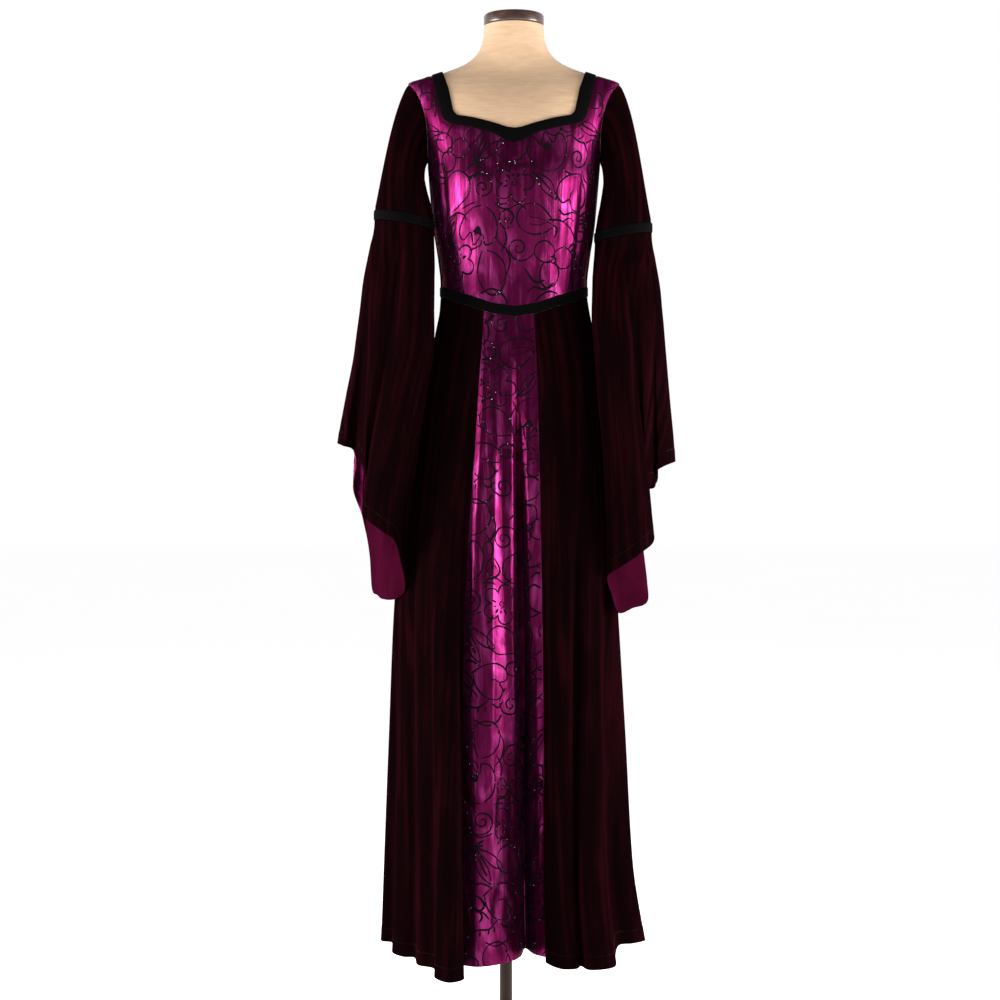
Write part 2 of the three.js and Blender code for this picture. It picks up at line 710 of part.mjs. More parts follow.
function skirtWithoutFolds(angle, drop) {
  const turn = radians(angle);
  const across = Math.sin(turn) > 0 ? skirtPlain.right(drop) : skirtPlain.left(drop);
  const deep = Math.cos(turn) > 0 ? skirtPlain.front(drop) : skirtPlain.back(drop);
  const x = BODY_X + across * Math.sin(turn);
  return new THREE.Vector3(x, -deep * Math.cos(turn), waistBottom(angle) - drop);
}

function skirtSurface(place, share) {
  const angle = skirtAngle(place);
  const fullDrop = waistBottom(angle) - skirtHem.z(place);
  const drop = fullDrop * share;
  const edge = new THREE.Vector3(skirtHem.x(place), skirtHem.y(place), skirtHem.z(place));
  const fold = edge.sub(skirtWithoutFolds(angle, fullDrop)).multiplyScalar(skirtFolding(Math.max(drop, 0)));
  return skirtWithoutFolds(angle, drop).add(fold);
}

// Dress form and stand

function formGeometry() {
  const inset = WALL + FORM_CLEARANCE;
  const rings = bodyAngles.map((angle) =>
    FORM_LEVELS.map((z) => bodySurface(angle, z).addScaledVector(normalAt(bodySurface, angle, z, 1), -inset)),
  );
  const rows = FORM_LEVELS.length;
  for (const ring of rings) {
    ring[0].z = FORM_BOTTOM;
    ring[rows - 1].z = NECK_TOP;
  }
  const vertices = rings.flat();
  const at = (i, j) => (i % BODY_COLUMNS) * rows + j;
  const triangles = [];
  for (let i = 0; i < BODY_COLUMNS; i += 1) {
    for (let j = 0; j < rows - 1; j += 1) {
      triangles.push([at(i, j), at(i + 1, j), at(i + 1, j + 1)], [at(i, j), at(i + 1, j + 1), at(i, j + 1)]);
    }
  }
  for (const [j, flip] of [[0, true], [rows - 1, false]]) {
    const centre = vertices.length;
    vertices.push(new THREE.Vector3(BODY_X, 0, vertices[at(0, j)].z));
    for (let i = 0; i < BODY_COLUMNS; i += 1) {
      triangles.push(flip ? [centre, at(i + 1, j), at(i, j)] : [centre, at(i, j), at(i + 1, j)]);
    }
  }
  return indexedGeometry(vertices, triangles);
}

function turned(profile, segments = 32) {
  const geometry = new THREE.LatheGeometry(profile.map(([r, z]) => new THREE.Vector2(r, z)), segments);
  return geometry.rotateX(Math.PI / 2);
}

function neckCapGeometry() {
  const low = NECK_TOP + TOUCH_GAP;
  const round = 5;
  return turned([
    [0, low],
    [CAP_RADIUS - 2, low],
    [CAP_RADIUS, low + 2],
    [CAP_RADIUS, CAP_TOP - round],
    [CAP_RADIUS - 1.5, CAP_TOP - 1.5],
    [CAP_RADIUS - round, CAP_TOP],
    [0, CAP_TOP],
  ]).translate(BODY_X, 0, 0);
}

function poleGeometry() {
  const low = BASE_HEIGHT + TOUCH_GAP;
  const high = FORM_BOTTOM - TOUCH_GAP;
  return turned([[0, low], [POLE_RADIUS, low], [POLE_RADIUS, high], [0, high]], 20);
}

function baseGeometry() {
  const lip = 6;
  const boss = 26;
  return turned([
    [0, 0],
    [BASE_RADIUS, 0],
    [BASE_RADIUS, lip],
    [BASE_RADIUS - lip, lip + 3],
    [boss, BASE_HEIGHT],
    [0, BASE_HEIGHT],
  ]);
}

// Materials

const FINISHES = {
  velvet: { color: 0x2a0610, roughness: 0.75, metalness: 0 },
  panne: { color: 0x8a1470, roughness: 0.42, metalness: 0 },
  braid: { color: 0x0d0b0d, roughness: 0.6, metalness: 0 },
  linen: { color: 0xdcc6a4, roughness: 0.85, metalness: 0 },
  wood: { color: 0x3a2520, roughness: 0.4, metalness: 0 },
  metal: { color: 0x2d211d, roughness: 0.4, metalness: 0.7 },
};

// Assembly

const group = new THREE.Group();

function addPiece(name, geometry, finish) {
  geometry.deleteAttribute('uv');
  geometry.computeVertexNormals();
  const mesh = new THREE.Mesh(geometry, new THREE.MeshStandardMaterial(FINISHES[finish]));
  mesh.name = name;
  group.add(mesh);
}

addPiece('stand_base', baseGeometry(), 'metal');
addPiece('stand_pole', poleGeometry(), 'metal');
addPiece('form_torso', formGeometry(), 'linen');
addPiece('neck_cap', neckCapGeometry(), 'wood');
addPiece('bodice_front', toGeometry(bodiceShell.intersect(seamSide(-1))), 'panne');
addPiece('bodice_back', toGeometry(bodiceShell.intersect(seamSide(1))), 'velvet');
addPiece('neck_trim', neckTrimGeometry(), 'braid');
addPiece('waist_trim', waistTrimGeometry(), 'braid');
for (const arm of [LEFT_ARM, RIGHT_ARM]) {
  addPiece(`upper_sleeve_${arm.name}`, upperSleeveGeometry(arm), 'velvet');
  addPiece(`sleeve_band_${arm.name}`, sleeveBandGeometry(arm), 'braid');
  for (const [name, geometry] of Object.entries(lowerSleeveGeometries(arm))) {
    addPiece(name, geometry, name.startsWith('sleeve_gusset') ? 'panne' : 'velvet');
  }
}
for (const { name, from, to } of SKIRT_PANELS) {
  const geometry = hangingPanel(skirtSurface, from, to, SKIRT_STEPS, { facing: -1 });
  addPiece(name, geometry, name === 'skirt_centre_panel' ? 'panne' : 'velvet');
}

export default group;
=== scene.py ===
import math

import bpy
import numpy as np
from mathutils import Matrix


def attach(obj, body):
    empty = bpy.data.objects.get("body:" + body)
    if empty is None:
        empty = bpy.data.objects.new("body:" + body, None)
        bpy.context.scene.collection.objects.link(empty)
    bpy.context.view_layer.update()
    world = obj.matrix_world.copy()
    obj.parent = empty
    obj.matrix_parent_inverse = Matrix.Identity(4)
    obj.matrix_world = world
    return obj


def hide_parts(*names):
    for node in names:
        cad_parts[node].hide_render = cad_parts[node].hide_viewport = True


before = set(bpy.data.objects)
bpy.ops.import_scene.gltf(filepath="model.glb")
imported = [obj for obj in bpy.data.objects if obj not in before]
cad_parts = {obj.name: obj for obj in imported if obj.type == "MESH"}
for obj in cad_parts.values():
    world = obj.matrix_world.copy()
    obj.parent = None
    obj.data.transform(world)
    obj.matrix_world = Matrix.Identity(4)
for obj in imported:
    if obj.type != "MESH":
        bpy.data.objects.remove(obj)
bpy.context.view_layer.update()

# A velvet dress on a limbless dress form, in a plain studio.
# Tables and surfaces are in millimetres, +Z up, front towards -Y. Meshes are made in metres.

MM = 0.001

# Camera: level, at half the dress's height, straight in front
CAMERA_PLACE = (-9.9, -3667, 885)
LENS = 80
SENSOR = 36

# Floor's half width, and the soft lights in metres and watts: name, place, height of the aim, size, power,
# and whether shiny cloth mirrors it
FLOOR_REACH = 40000
SOFTBOXES = (
    ("left_softbox", (-2.1, -0.4, 1.05), 1.05, (1.3, 1.3), 92, True),
    ("right_softbox", (2.1, -0.4, 1.05), 1.05, (1.3, 1.3), 92, True),
    ("front_left_softbox", (-1.6, -3.0, 2.6), 1.2, (1.1, 1.6), 40, False),
    ("front_right_softbox", (1.6, -3.0, 2.6), 1.2, (1.1, 1.6), 40, False),
)

# Cloth, its bands and its seams
WALL = 1.6
BAND_RAISE = 0.8
BAND_SINK = 0.4
BAND_CROWN = 0.9
NECK_ROUND_EDGE = 3.2
FORM_INSET = WALL + 0.5
SEAM_HALF_GAP = 0.08
SEAM_REACH = 3.5
# Rows of folds left free at each side of a seam in the sleeves and the skirt
SLEEVE_INSET = 0.002
SEAM_INSET = 0.003
# Creases fade in over these lengths from the waist and from the sleeve's ends
SKIRT_SETTLE = 12
SLEEVE_SETTLE = 25
# Columns of the mesh for each fold row
SKIRT_COLUMNS = 9
BELL_COLUMNS = 8
HEM_TURN = 22
STITCH_LINE = 21
STITCH = {"long": 3.0, "gap": 1.3, "wide": 0.7, "proud": 0.3, "sunk": 0.2}

# Stand
POLE_RADIUS = 10.5
BASE_RADIUS = 175
BASE_HEIGHT = 14
FORM_BOTTOM = 985
NECK_TOP = 1666
CAP_RADIUS = 49.5
CAP_TOP = 1685
BODY_X = 13
# Left open where one part of the stand rests on the next
REST_GAP = 0.3


def table(columns, rows):
    return dict(zip(columns.split(), np.array(rows, float).T))


# Outside of the fitted cloth at each height
BODY = table("z half front back", [
    (985, 132, 100, 108), (992, 136, 105, 112), (1040, 137, 106, 113), (1110, 130, 98, 98),
    (1150, 123, 91, 87), (1180, 121, 90, 82), (1240, 121, 92, 82), (1280, 125, 98, 85),
    (1333, 133, 108, 91), (1396, 139, 114, 97), (1440, 143, 110, 100), (1500, 157, 99, 98),
    (1535, 168, 84, 93), (1560, 174, 67, 85), (1571, 175, 57, 77), (1578, 155, 52, 71), (1584, 136, 48, 65),
    (1590, 118, 45, 59), (1604, 83, 43, 52), (1617, 66, 44, 50), (1631, 57, 46, 50), (1650, 52, 49, 51),
    (1668, 51, 51, 51),
])
BUST = {"height": 1402, "angle": 34, "rise": 9, "spread_height": 42, "spread_angle": 21}
WAIST_LINE = table("angle z", [(0, 1189), (18, 1195), (36, 1208), (72, 1225), (90, 1228), (180, 1228)])
WAIST_BAND = 17

# Half necklines, x from the middle of the figure
NECK = {
    "front_outer": [
        (0, 1458), (14, 1463), (40, 1477), (75, 1487), (104, 1494), (115, 1503), (124, 1533), (135, 1584),
    ],
    "front_inner": [
        (0, 1482), (12, 1484), (35, 1492), (65, 1501), (92, 1507), (99, 1515), (107, 1555), (118, 1590),
    ],
    "back_outer": [(0, 1533), (45, 1537), (85, 1550), (115, 1567), (135, 1584)],
    "back_inner": [(0, 1551), (40, 1555), (75, 1566), (100, 1579), (118, 1590)],
}
SIDE_SEAM = table("z y", [(1170, -24), (1300, -16), (1440, -5), (1560, 0), (1640, 0)])
ARMHOLE = {"y": 3, "z": 1505, "depth": 43, "height": 65}

# Skirt without folds, by drop below the waist band, and how far the folds have opened there
SKIRT_PLAIN = table("drop left right front back", [
    (0, 121, 121, 90, 82), (25, 123, 125, 95, 91), (55, 129, 131, 102, 100), (115, 140, 141, 115, 115),
    (170, 148, 146, 123, 127), (335, 175, 159, 150, 156), (500, 197, 169, 172, 180),
    (720, 206, 181, 192, 200), (930, 214, 192, 204, 210), (1070, 219, 213, 210, 216),
])
SKIRT_FOLDING = table("drop share", [
    (0, 0), (120, 0.05), (215, 0.12), (335, 0.26), (500, 0.46), (720, 0.7), (930, 0.88), (1070, 1),
])

# Lips of the skirt's folds: where each leaves the waist, then its place at the hem
SKIRT_FOLDS = table("angle x y z", [
    (-90, -206, 0, 158), (-84, -186, -14, 157), (-78, -183, -76, 154), (-72, -165, -101, 152),
    (-66, -146, -108, 152), (-60, -139, -150, 149), (-54, -113, -168, 147), (-47, -110, -213, 142),
    (-41, -88, -229, 138), (-34, -66, -210, 140), (-29, -76, -168, 145), (-24, -75, -150, 149),
    (-17, -45, -168, 150), (-10, -11, -152, 151), (-3, 21, -108, 153), (2, 31, -42, 155), (7, 46, -86, 154),
    (15.5, 66, -112, 153), (22, 63, -146, 152), (29, 85, -184, 150), (36, 108, -190, 151),
    (43, 117, -172, 152), (50, 129, -197, 151), (57, 153, -198, 152), (64, 171, -176, 153),
    (71, 175, -96, 155), (78, 184, -38, 158), (84, 208, -24, 158), (90, 230, 4, 158), (98, 218, 44, 156),
    (105, 194, 62, 155), (112, 190, 86, 154), (119, 201, 118, 153), (126, 178, 136, 153),
    (133, 158, 140, 154), (140, 154, 172, 152), (147, 132, 180, 152), (154, 110, 160, 153),
    (160, 98, 174, 152), (167, 84, 210, 150), (174, 54, 216, 150), (181, 30, 188, 152), (188, 4, 178, 153),
    (195, -18, 203, 151), (202, -48, 215, 150), (209, -70, 190, 152), (217, -88, 160, 153),
    (225, -113, 170, 153), (233, -139, 189, 153), (241, -151, 150, 155), (249, -158, 110, 157),
    (256, -189, 102, 158), (263, -200, 48, 160),
])
# Panels by fold row: node, face, first and last row
SKIRT_PANELS = (
    ("skirt_front_left", "velvet", 0, 11), ("skirt_centre_panel", "panne", 11, 17),
    ("skirt_front_right", "velvet", 17, 28), ("skirt_back_right", "velvet", 28, 41),
    ("skirt_back_left", "velvet", 41, 53),
)
DEEP_FOLD = 5

# Soft creases of the skirt: fold row, from and to as shares of the drop, height in mm, width in rows
SKIRT_CREASES = table("place start end height width lean", [
    (2.4, 0, 0.5, 3.5, 0.45, 0.5), (4.6, 0, 0.42, 3, 0.4, -0.3), (6.7, 0.02, 0.7, 2.8, 0.35, 0.3),
    (8.9, 0, 0.36, 3.6, 0.45, 0.2), (10.2, 0.1, 0.8, -2.2, 0.3, 0.1), (12.3, 0, 0.9, 2.6, 0.33, 0.2),
    (13.3, 0.05, 0.65, -2.4, 0.28, 0.15), (14.1, 0.02, 0.95, 3, 0.28, -0.2),
    (14.7, 0.12, 0.7, 1.8, 0.2, 0.1), (16.1, 0, 0.5, 2.2, 0.25, 0.1), (16.6, 0.3, 1, 1.6, 0.2, -0.1),
    (11.5, 0.04, 0.75, 2, 0.17, 0.1), (12.8, 0.1, 0.86, 2.6, 0.16, -0.15),
    (13.7, 0.2, 0.97, 2.4, 0.15, 0.2), (15.2, 0.25, 0.9, 2.2, 0.18, 0), (12, 0.83, 1, 3.4, 0.2, 0.9),
    (13.3, 0.85, 0.98, -3.2, 0.22, -0.8), (12.7, 0.91, 1.01, 3, 0.18, 1.1),
    (14.1, 0.87, 0.98, 3, 0.2, -0.9), (13, 0.7, 0.84, 2.2, 0.16, -0.5),
    (14.95, 0.06, 0.6, -4, 0.28, 0), (15, 0.15, 0.74, -6, 0.36, 0), (15, 0.15, 0.74, -6, 0.18, 0),
    (18.4, 0, 0.45, 3.2, 0.4, 0.2), (20.3, 0, 0.5, 3.4, 0.4, -0.2), (22.2, 0, 0.4, 3, 0.4, 0.3),
    (24, 0, 0.55, 2.8, 0.45, 0.1), (26, 0, 0.4, 3.4, 0.5, -0.3), (29.5, 0, 0.42, 3, 0.4, 0.2),
    (32, 0, 0.5, 3.2, 0.45, -0.3), (34.6, 0, 0.38, 3, 0.4, 0.2), (37.5, 0, 0.55, 3.4, 0.45, 0.2),
    (39.4, 0.05, 0.4, -2.4, 0.3, 0), (42.5, 0, 0.5, 3, 0.4, 0.3), (45.2, 0, 0.36, 3.4, 0.45, -0.2),
    (47.6, 0, 0.5, 2.8, 0.4, 0.3), (50.4, 0, 0.45, 3.2, 0.45, 0.1),
])

# Sleeves: angles run outer 0, front 90, inner 180, back 270
BAND_WIDTH = 16
BAND_TILT = 8
SLEEVE_FOLDING = table("drop share", [(0, 0), (0.3, 0.12), (0.6, 0.42), (0.85, 0.8), (1, 1)])
# Shares of the drop over which the bell settles to its sections and its gathers run out
SETTLE_END = 0.1
GATHER_END = 0.45
# Slopes of the upper sleeve at the armhole and the band: mean, and change towards the outer side
SLEEVE_SLOPES = ((62, -6, -85), (16, 6, -45)), ((12, 0, -160), (33, 0, -55))
GATHERS = table("count depth phase", [(7, 3.2, 0), (17, 1.5, 70), (23, 0.8, 200)])
ARMS = {
    "left": {
        "side": -1,
        "band": {"x": -166, "y": -40, "z": 1341, "rx": 48.7, "ry": 50},
        "sections": table("z x y rx ry", [
            (700, -216, -60, 58, 88), (850, -214, -80, 60, 84), (978, -204, -86, 67, 80),
            (1050, -193, -82, 66, 75), (1130, -180, -70, 65, 70), (1215, -175, -52, 59.5, 65),
            (1281, -169, -43, 53.9, 57), (1341, -166, -40, 48.7, 50),
        ]),
        "folds": table("angle x y z", [
            (0, -276, -20, 978), (20, -262, -70, 972), (38, -247, -58, 966), (56, -228, -100, 938),
            (73, -226, -88, 912), (88, -230, -76, 890), (100, -230, -106, 862), (115, -217, -130, 850),
            (135, -193, -134, 832), (155, -178, -118, 820), (175, -170, -97, 790), (195, -163, -72, 742),
            (215, -180, -48, 724), (235, -202, -12, 722), (252, -213, 26, 727), (268, -224, 60, 736),
            (282, -229, 70, 795), (296, -241, 56, 858), (312, -254, 36, 902), (328, -249, 22, 938),
            (344, -253, 2, 968),
        ]),
        "gusset": (17, 20),
    },
    "right": {
        "side": 1,
        "band": {"x": 191.5, "y": -35, "z": 1321, "rx": 46.5, "ry": 48},
        "sections": table("z x y rx ry", [
            (680, 222, -60, 50, 88), (850, 218, -84, 54, 84), (960, 213, -88, 57, 78),
            (1050, 205, -84, 58, 72), (1159, 198, -64, 58, 66), (1215, 195, -48, 55, 62),
            (1281, 191.5, -38, 50.5, 54), (1321, 191.5, -35, 46.5, 48),
        ]),
        "folds": table("angle x y z", [
            (0, 277, -20, 948), (20, 262, -72, 944), (38, 244, -86, 936), (52, 244, -66, 914),
            (68, 222, -104, 900), (84, 228, -80, 862), (98, 237, -102, 822), (114, 213, -132, 800),
            (135, 182, -130, 778), (155, 162, -104, 762), (175, 169, -80, 735), (195, 182, -54, 702),
            (212, 206, -34, 708), (230, 234, -4, 722), (247, 225, 30, 788), (262, 240, 56, 815),
            (276, 236, 70, 858), (292, 233, 66, 898), (309, 247, 50, 905), (326, 249, 28, 915),
            (343, 250, 4, 934),
        ]),
        "gusset": None,
    },
}


def place_object(name, data, place=(0, 0, 0), turn=(0, 0, 0)):
    thing = bpy.data.objects.new(name, data)
    thing.location = place
    thing.rotation_euler = turn
    bpy.context.scene.collection.objects.link(thing)
    return thing


# Curves through tables

def column_curve(rows, key, column):
    """A smooth curve through one column that never overshoots its rows."""
    x, y = rows[key], rows[column]
    slope = np.diff(y) / np.diff(x)
    tangent = np.concatenate([slope[:1], np.zeros(len(x) - 2), slope[-1:]])
    product = slope[:-1] * slope[1:]
    rising = product > 0
    tangent[1:-1][rising] = 2 * product[rising] / (slope[:-1] + slope[1:])[rising]

    def at(value):
        place = np.clip(value, x[0], x[-1])
        i = np.clip(np.searchsorted(x, place) - 1, 0, len(x) - 2)
        span = x[i + 1] - x[i]
        t = (place - x[i]) / span
        smooth = t * t * (3 - 2 * t)
        bend = span * t * (1 - t) * (tangent[i] * (1 - t) - tangent[i + 1] * t)
        return y[i] + (y[i + 1] - y[i]) * smooth + bend

    return at


def column_curves(rows, key, columns):
    return {column: column_curve(rows, key, column) for column in columns.split()}


def fold_curve(rows, column, turn=0):
    """A closed curve through the rows of a fold table: row numbers in, one column's value out."""
    values, count = rows[column], len(rows[column])

    def value(i):
        return values[i % count] + turn * (i // count)

    def at(place):
        i = np.floor(place).astype(int)
        t = place - i
        a, b, c, d = value(i - 1), value(i), value(i + 1), value(i + 2)
        pull = t * (1 - t) / 2
        bend = (c - a) * (1 - t) - (d - b) * t - 2 * (c - b) * (1 - 2 * t)
        return b + (c - b) * t + pull * bend

    return at


def fold_curves(rows):
    curves = {column: fold_curve(rows, column) for column in ("x", "y", "z")}
    curves["angle"] = fold_curve(rows, "angle", 360)
    return curves


# Surfaces: arrays of two places in, points out

def points(x, y, z):
    return np.stack(np.broadcast_arrays(x, y, z), axis=-1).astype(float)


body = column_curves(BODY, "z", "half front back")


def body_surface(angle, z):
    turn = np.radians(angle)
    depth = np.where(np.cos(turn) > 0, body["front"](z), body["back"](z))
    aside = (np.abs(angle) - BUST["angle"]) / BUST["spread_angle"]
    above = (z - BUST["height"]) / BUST["spread_height"]
    rise = 1 + BUST["rise"] * np.exp(-aside**2 - above**2) / depth
    return points(BODY_X + body["half"](z) * np.sin(turn), -depth * rise * np.cos(turn), z)


def waist_line(angle):
    around = np.abs((angle + 180) % 360 - 180)
    return np.interp(around, WAIST_LINE["angle"], WAIST_LINE["z"])


def armhole_points(side, angle):
    turn = np.radians(angle)
    y = ARMHOLE["y"] - ARMHOLE["depth"] * np.sin(turn)
    z = ARMHOLE["z"] + ARMHOLE["height"] * np.cos(turn)
    depth = np.where(y < 0, body["front"](z), body["back"](z))
    return points(BODY_X + side * body["half"](z) * np.sqrt(np.maximum(0, 1 - (y / depth) ** 2)), y, z)


def band_points(arm, angle, height):
    turn, band = np.radians(angle), arm["band"]
    x = band["x"] + arm["side"] * band["rx"] * np.cos(turn)
    z = band["z"] + height + BAND_TILT * np.cos(turn)
    return points(x, band["y"] - band["ry"] * np.sin(turn), z)


def upper_sleeve_surface(arm, angle, share):
    lean = np.cos(np.radians(angle))
    side = arm["side"]
    start = armhole_points(side, angle)
    end = band_points(arm, angle, BAND_WIDTH / 2)
    leave, arrive = (
        (np.array(mean) + np.array(change) * lean[..., None]) * (side, 1, 1) for mean, change in SLEEVE_SLOPES
    )
    s = np.asarray(share)[..., None]
    return (
        start * (2 * s**3 - 3 * s**2 + 1) + leave * (s**3 - 2 * s**2 + s)
        + end * (3 * s**2 - 2 * s**3) + arrive * (s**3 - s**2)
    )


def lower_sleeve_surface(arm):
    section = column_curves(arm["sections"], "z", "x y rx ry")
    folding = column_curve(SLEEVE_FOLDING, "drop", "share")
    hem = fold_curves(arm["folds"])
    side = arm["side"]

    def plain(angle, z):
        turn = np.radians(angle)
        x = section["x"](z) + side * section["rx"](z) * np.cos(turn)
        return points(x, section["y"](z) - section["ry"](z) * np.sin(turn), z)

    def surface(place, share):
        angle = hem["angle"](place)
        top = band_points(arm, angle, -BAND_WIDTH / 2)
        hem_z = hem["z"](place)
        z = top[..., 2] + (hem_z - top[..., 2]) * share
        edge = points(hem["x"](place), hem["y"](place), hem_z)
        fold = (edge - plain(angle, hem_z)) * folding(share)[..., None]
        settle = np.clip(share / SETTLE_END, 0, 1)[..., None]
        start = points(top[..., 0], top[..., 1], z)
        rise = np.sin(np.pi * np.clip(share / GATHER_END, 0, 1)) ** 2
        waves = sum(
            depth * np.cos(np.radians(angle * count + phase))
            for count, depth, phase in zip(GATHERS["count"], GATHERS["depth"], GATHERS["phase"])
        )
        turn = np.radians(angle)
        outward = points(side * np.cos(turn), -np.sin(turn), 0)
        return start + (plain(angle, z) - start) * settle + fold + outward * (rise * waves)[..., None]

    return surface


skirt_plain = column_curves(SKIRT_PLAIN, "drop", "left right front back")
skirt_folding = column_curve(SKIRT_FOLDING, "drop", "share")
skirt_hem = fold_curves(SKIRT_FOLDS)


def skirt_without_folds(angle, drop):
    turn = np.radians(angle)
    across = np.where(np.sin(turn) > 0, skirt_plain["right"](drop), skirt_plain["left"](drop))
    deep = np.where(np.cos(turn) > 0, skirt_plain["front"](drop), skirt_plain["back"](drop))
    z = waist_line(angle) - WAIST_BAND / 2 - drop
    return points(BODY_X + across * np.sin(turn), -deep * np.cos(turn), z)


def skirt_surface(place, share):
    angle = skirt_hem["angle"](place)
    full = waist_line(angle) - WAIST_BAND / 2 - skirt_hem["z"](place)
    drop = full * share
    edge = points(skirt_hem["x"](place), skirt_hem["y"](place), skirt_hem["z"](place))
    fold = (edge - skirt_without_folds(angle, full)) * skirt_folding(drop)[..., None]
    return skirt_without_folds(angle, drop) + fold


# Cloth

def crease_relief(creases, u, v):
    """Soft ridges and troughs, each with its own place, length, height and width."""
    total = np.zeros_like(u)
    for i in range(len(creases["place"])):
        c = {column: values[i] for column, values in creases.items()}
        along = (v - c["start"]) / (c["end"] - c["start"])
        aside = (u - c["place"] - c["lean"] * along) / c["width"]
        length = np.sin(np.pi * np.clip(along, 0, 1)) ** 0.8
        total += c["height"] * length * np.exp(-(aside**2))
    return total


class Cloth:
    """A grid of places on one panel, with its outer points, normals and flat sizes."""

    def __init__(self, surface, us, vs, facing=1, centre=None):
        self.u, self.v = np.meshgrid(us, vs, indexing="ij")
        step = 1e-3
        base = surface(self.u, self.v)
        along = surface(self.u + step, self.v) - surface(self.u - step, self.v)
        across = surface(self.u, self.v + step) - surface(self.u, self.v - step)
        normal = np.cross(along, across)
        self.normal = facing * normal / np.linalg.norm(normal, axis=-1, keepdims=True)
        self.base = self.outer = base
        fall = across / np.linalg.norm(across, axis=-1, keepdims=True)
        run = np.linalg.norm(np.cross(np.diff(base, axis=0), fall[:-1]), axis=-1)
        across_flat = np.concatenate([np.zeros((1, len(vs))), np.cumsum(run, axis=0)])
        middle = len(us) // 2 if centre is None else centre
        self.flat_x = across_flat - across_flat[middle]
        drop = np.linalg.norm(np.diff(base, axis=1), axis=-1)
        self.flat_y = np.concatenate([np.zeros((len(us), 1)), np.cumsum(drop, axis=1)], axis=1)
        self.down = self.flat_y.mean(axis=0)
        self.edge = np.maximum(self.flat_x[:1] - self.flat_x, self.flat_x - self.flat_x[-1:])
        self.from_hem = self.flat_y[:, -1:] - self.flat_y

    def raise_by(self, height):
        self.outer = self.outer + self.normal * np.asarray(height)[..., None]

    def flat_places(self):
        return np.stack([self.flat_x, self.flat_y], axis=-1).reshape(-1, 2)

    def area(self):
        a, b = np.diff(self.outer, axis=0)[:, :-1], np.diff(self.outer, axis=1)[:-1]
        return float(np.linalg.norm(np.cross(a, b), axis=-1).sum()) * MM * MM

    def size(self):
        """The widest and longest of the flat cut, in metres."""
        width = float((self.flat_x[-1] - self.flat_x[0]).max()) * MM
        return width, float(self.flat_y[:, -1].max()) * MM

    def faces(self, closed=False):
        columns, rows = self.u.shape
        spans = columns if closed else columns - 1
        i, j = np.meshgrid(np.arange(spans), np.arange(rows - 1), indexing="ij")
        after = (i + 1) % columns
        quads = np.stack([i * rows + j, after * rows + j, after * rows + j + 1, i * rows + j + 1], axis=-1)
        return quads.reshape(-1, 4)

    def look_up(self, x, y):
        """Outer points and normals at flat places, and how far inside the edge each is."""
        row = np.interp(y, self.down, np.arange(len(self.down)))
        j = np.clip(row.astype(int), 0, len(self.down) - 2)
        t = row - j
        across = self.flat_x[:, j] * (1 - t) + self.flat_x[:, j + 1] * t
        i = np.clip((across < x).sum(axis=0) - 1, 0, len(self.flat_x) - 2)
        k = np.arange(len(x))
        s = np.clip((x - across[i, k]) / (across[i + 1, k] - across[i, k]), 0, 1)

        def blend(grid):
            a, b = grid[i, j], grid[i + 1, j]
            c, d = grid[i, j + 1], grid[i + 1, j + 1]
            p, q = (s[:, None], t[:, None]) if grid.ndim == 3 else (s, t)
            return (a * (1 - p) + b * p) * (1 - q) + (c * (1 - p) + d * p) * q

        beyond = (x < across[0]) | (x > across[-1]) | (y < self.down[0]) | (y > self.down[-1])
        depth = np.where(beyond, 1.0, blend(self.edge))
        return blend(self.outer), blend(self.normal), depth


def seam_dip(inside, dip):
    """The cloth rounds over where it goes into a seam; inside is the distance from the seam."""
    return -dip * np.exp(-((np.maximum(0, inside) / SEAM_REACH) ** 2))


def turned_hem(cloth, rise=0.5, slope=2.5, roll=0.35, roll_reach=2):
    """The turned-up hem stands out a little, and its lower edge rolls."""
    step = np.clip((HEM_TURN - cloth.from_hem) / slope, 0, 1)
    return rise * step * step * (3 - 2 * step) + roll * np.exp(-((cloth.from_hem / roll_reach) ** 2))


def cut_cloth(cloth, distance):
    """Keeps the part of a panel where distance is below zero, with a clean edge at zero."""
    corner = cloth.faces()
    triangles = np.concatenate([corner[:, [0, 1, 2]], corner[:, [0, 2, 3]]])
    d = distance.ravel()
    inside = d[triangles] < 0
    count = inside.sum(axis=1)
    split = (count == 1) | (count == 2)
    made, extra = {}, []
    for triangle, flags in zip(triangles[split], inside[split]):
        ring = []
        for k in range(3):
            a, b = triangle[k], triangle[(k + 1) % 3]
            if flags[k]:
                ring.append(a)
            if flags[k] != flags[(k + 1) % 3]:
                ring.append(made.setdefault((min(a, b), max(a, b)), len(d) + len(made)))
        extra.append(ring[:3])
        if len(ring) == 4:
            extra.append([ring[0], ring[2], ring[3]])
    a, b = np.array(list(made)).T
    share = (d[a] / (d[a] - d[b]))[:, None]
    values = [cloth.outer.reshape(-1, 3), cloth.normal.reshape(-1, 3), cloth.flat_places()]
    values = [np.concatenate([v, v[a] * (1 - share) + v[b] * share]) for v in values]
    used, faces = np.unique(np.concatenate([triangles[count == 3], extra]), return_inverse=True)
    outer, normal, flat = (v[used] for v in values)
    return outer, normal, flat, faces.reshape(-1, 3)


# Materials

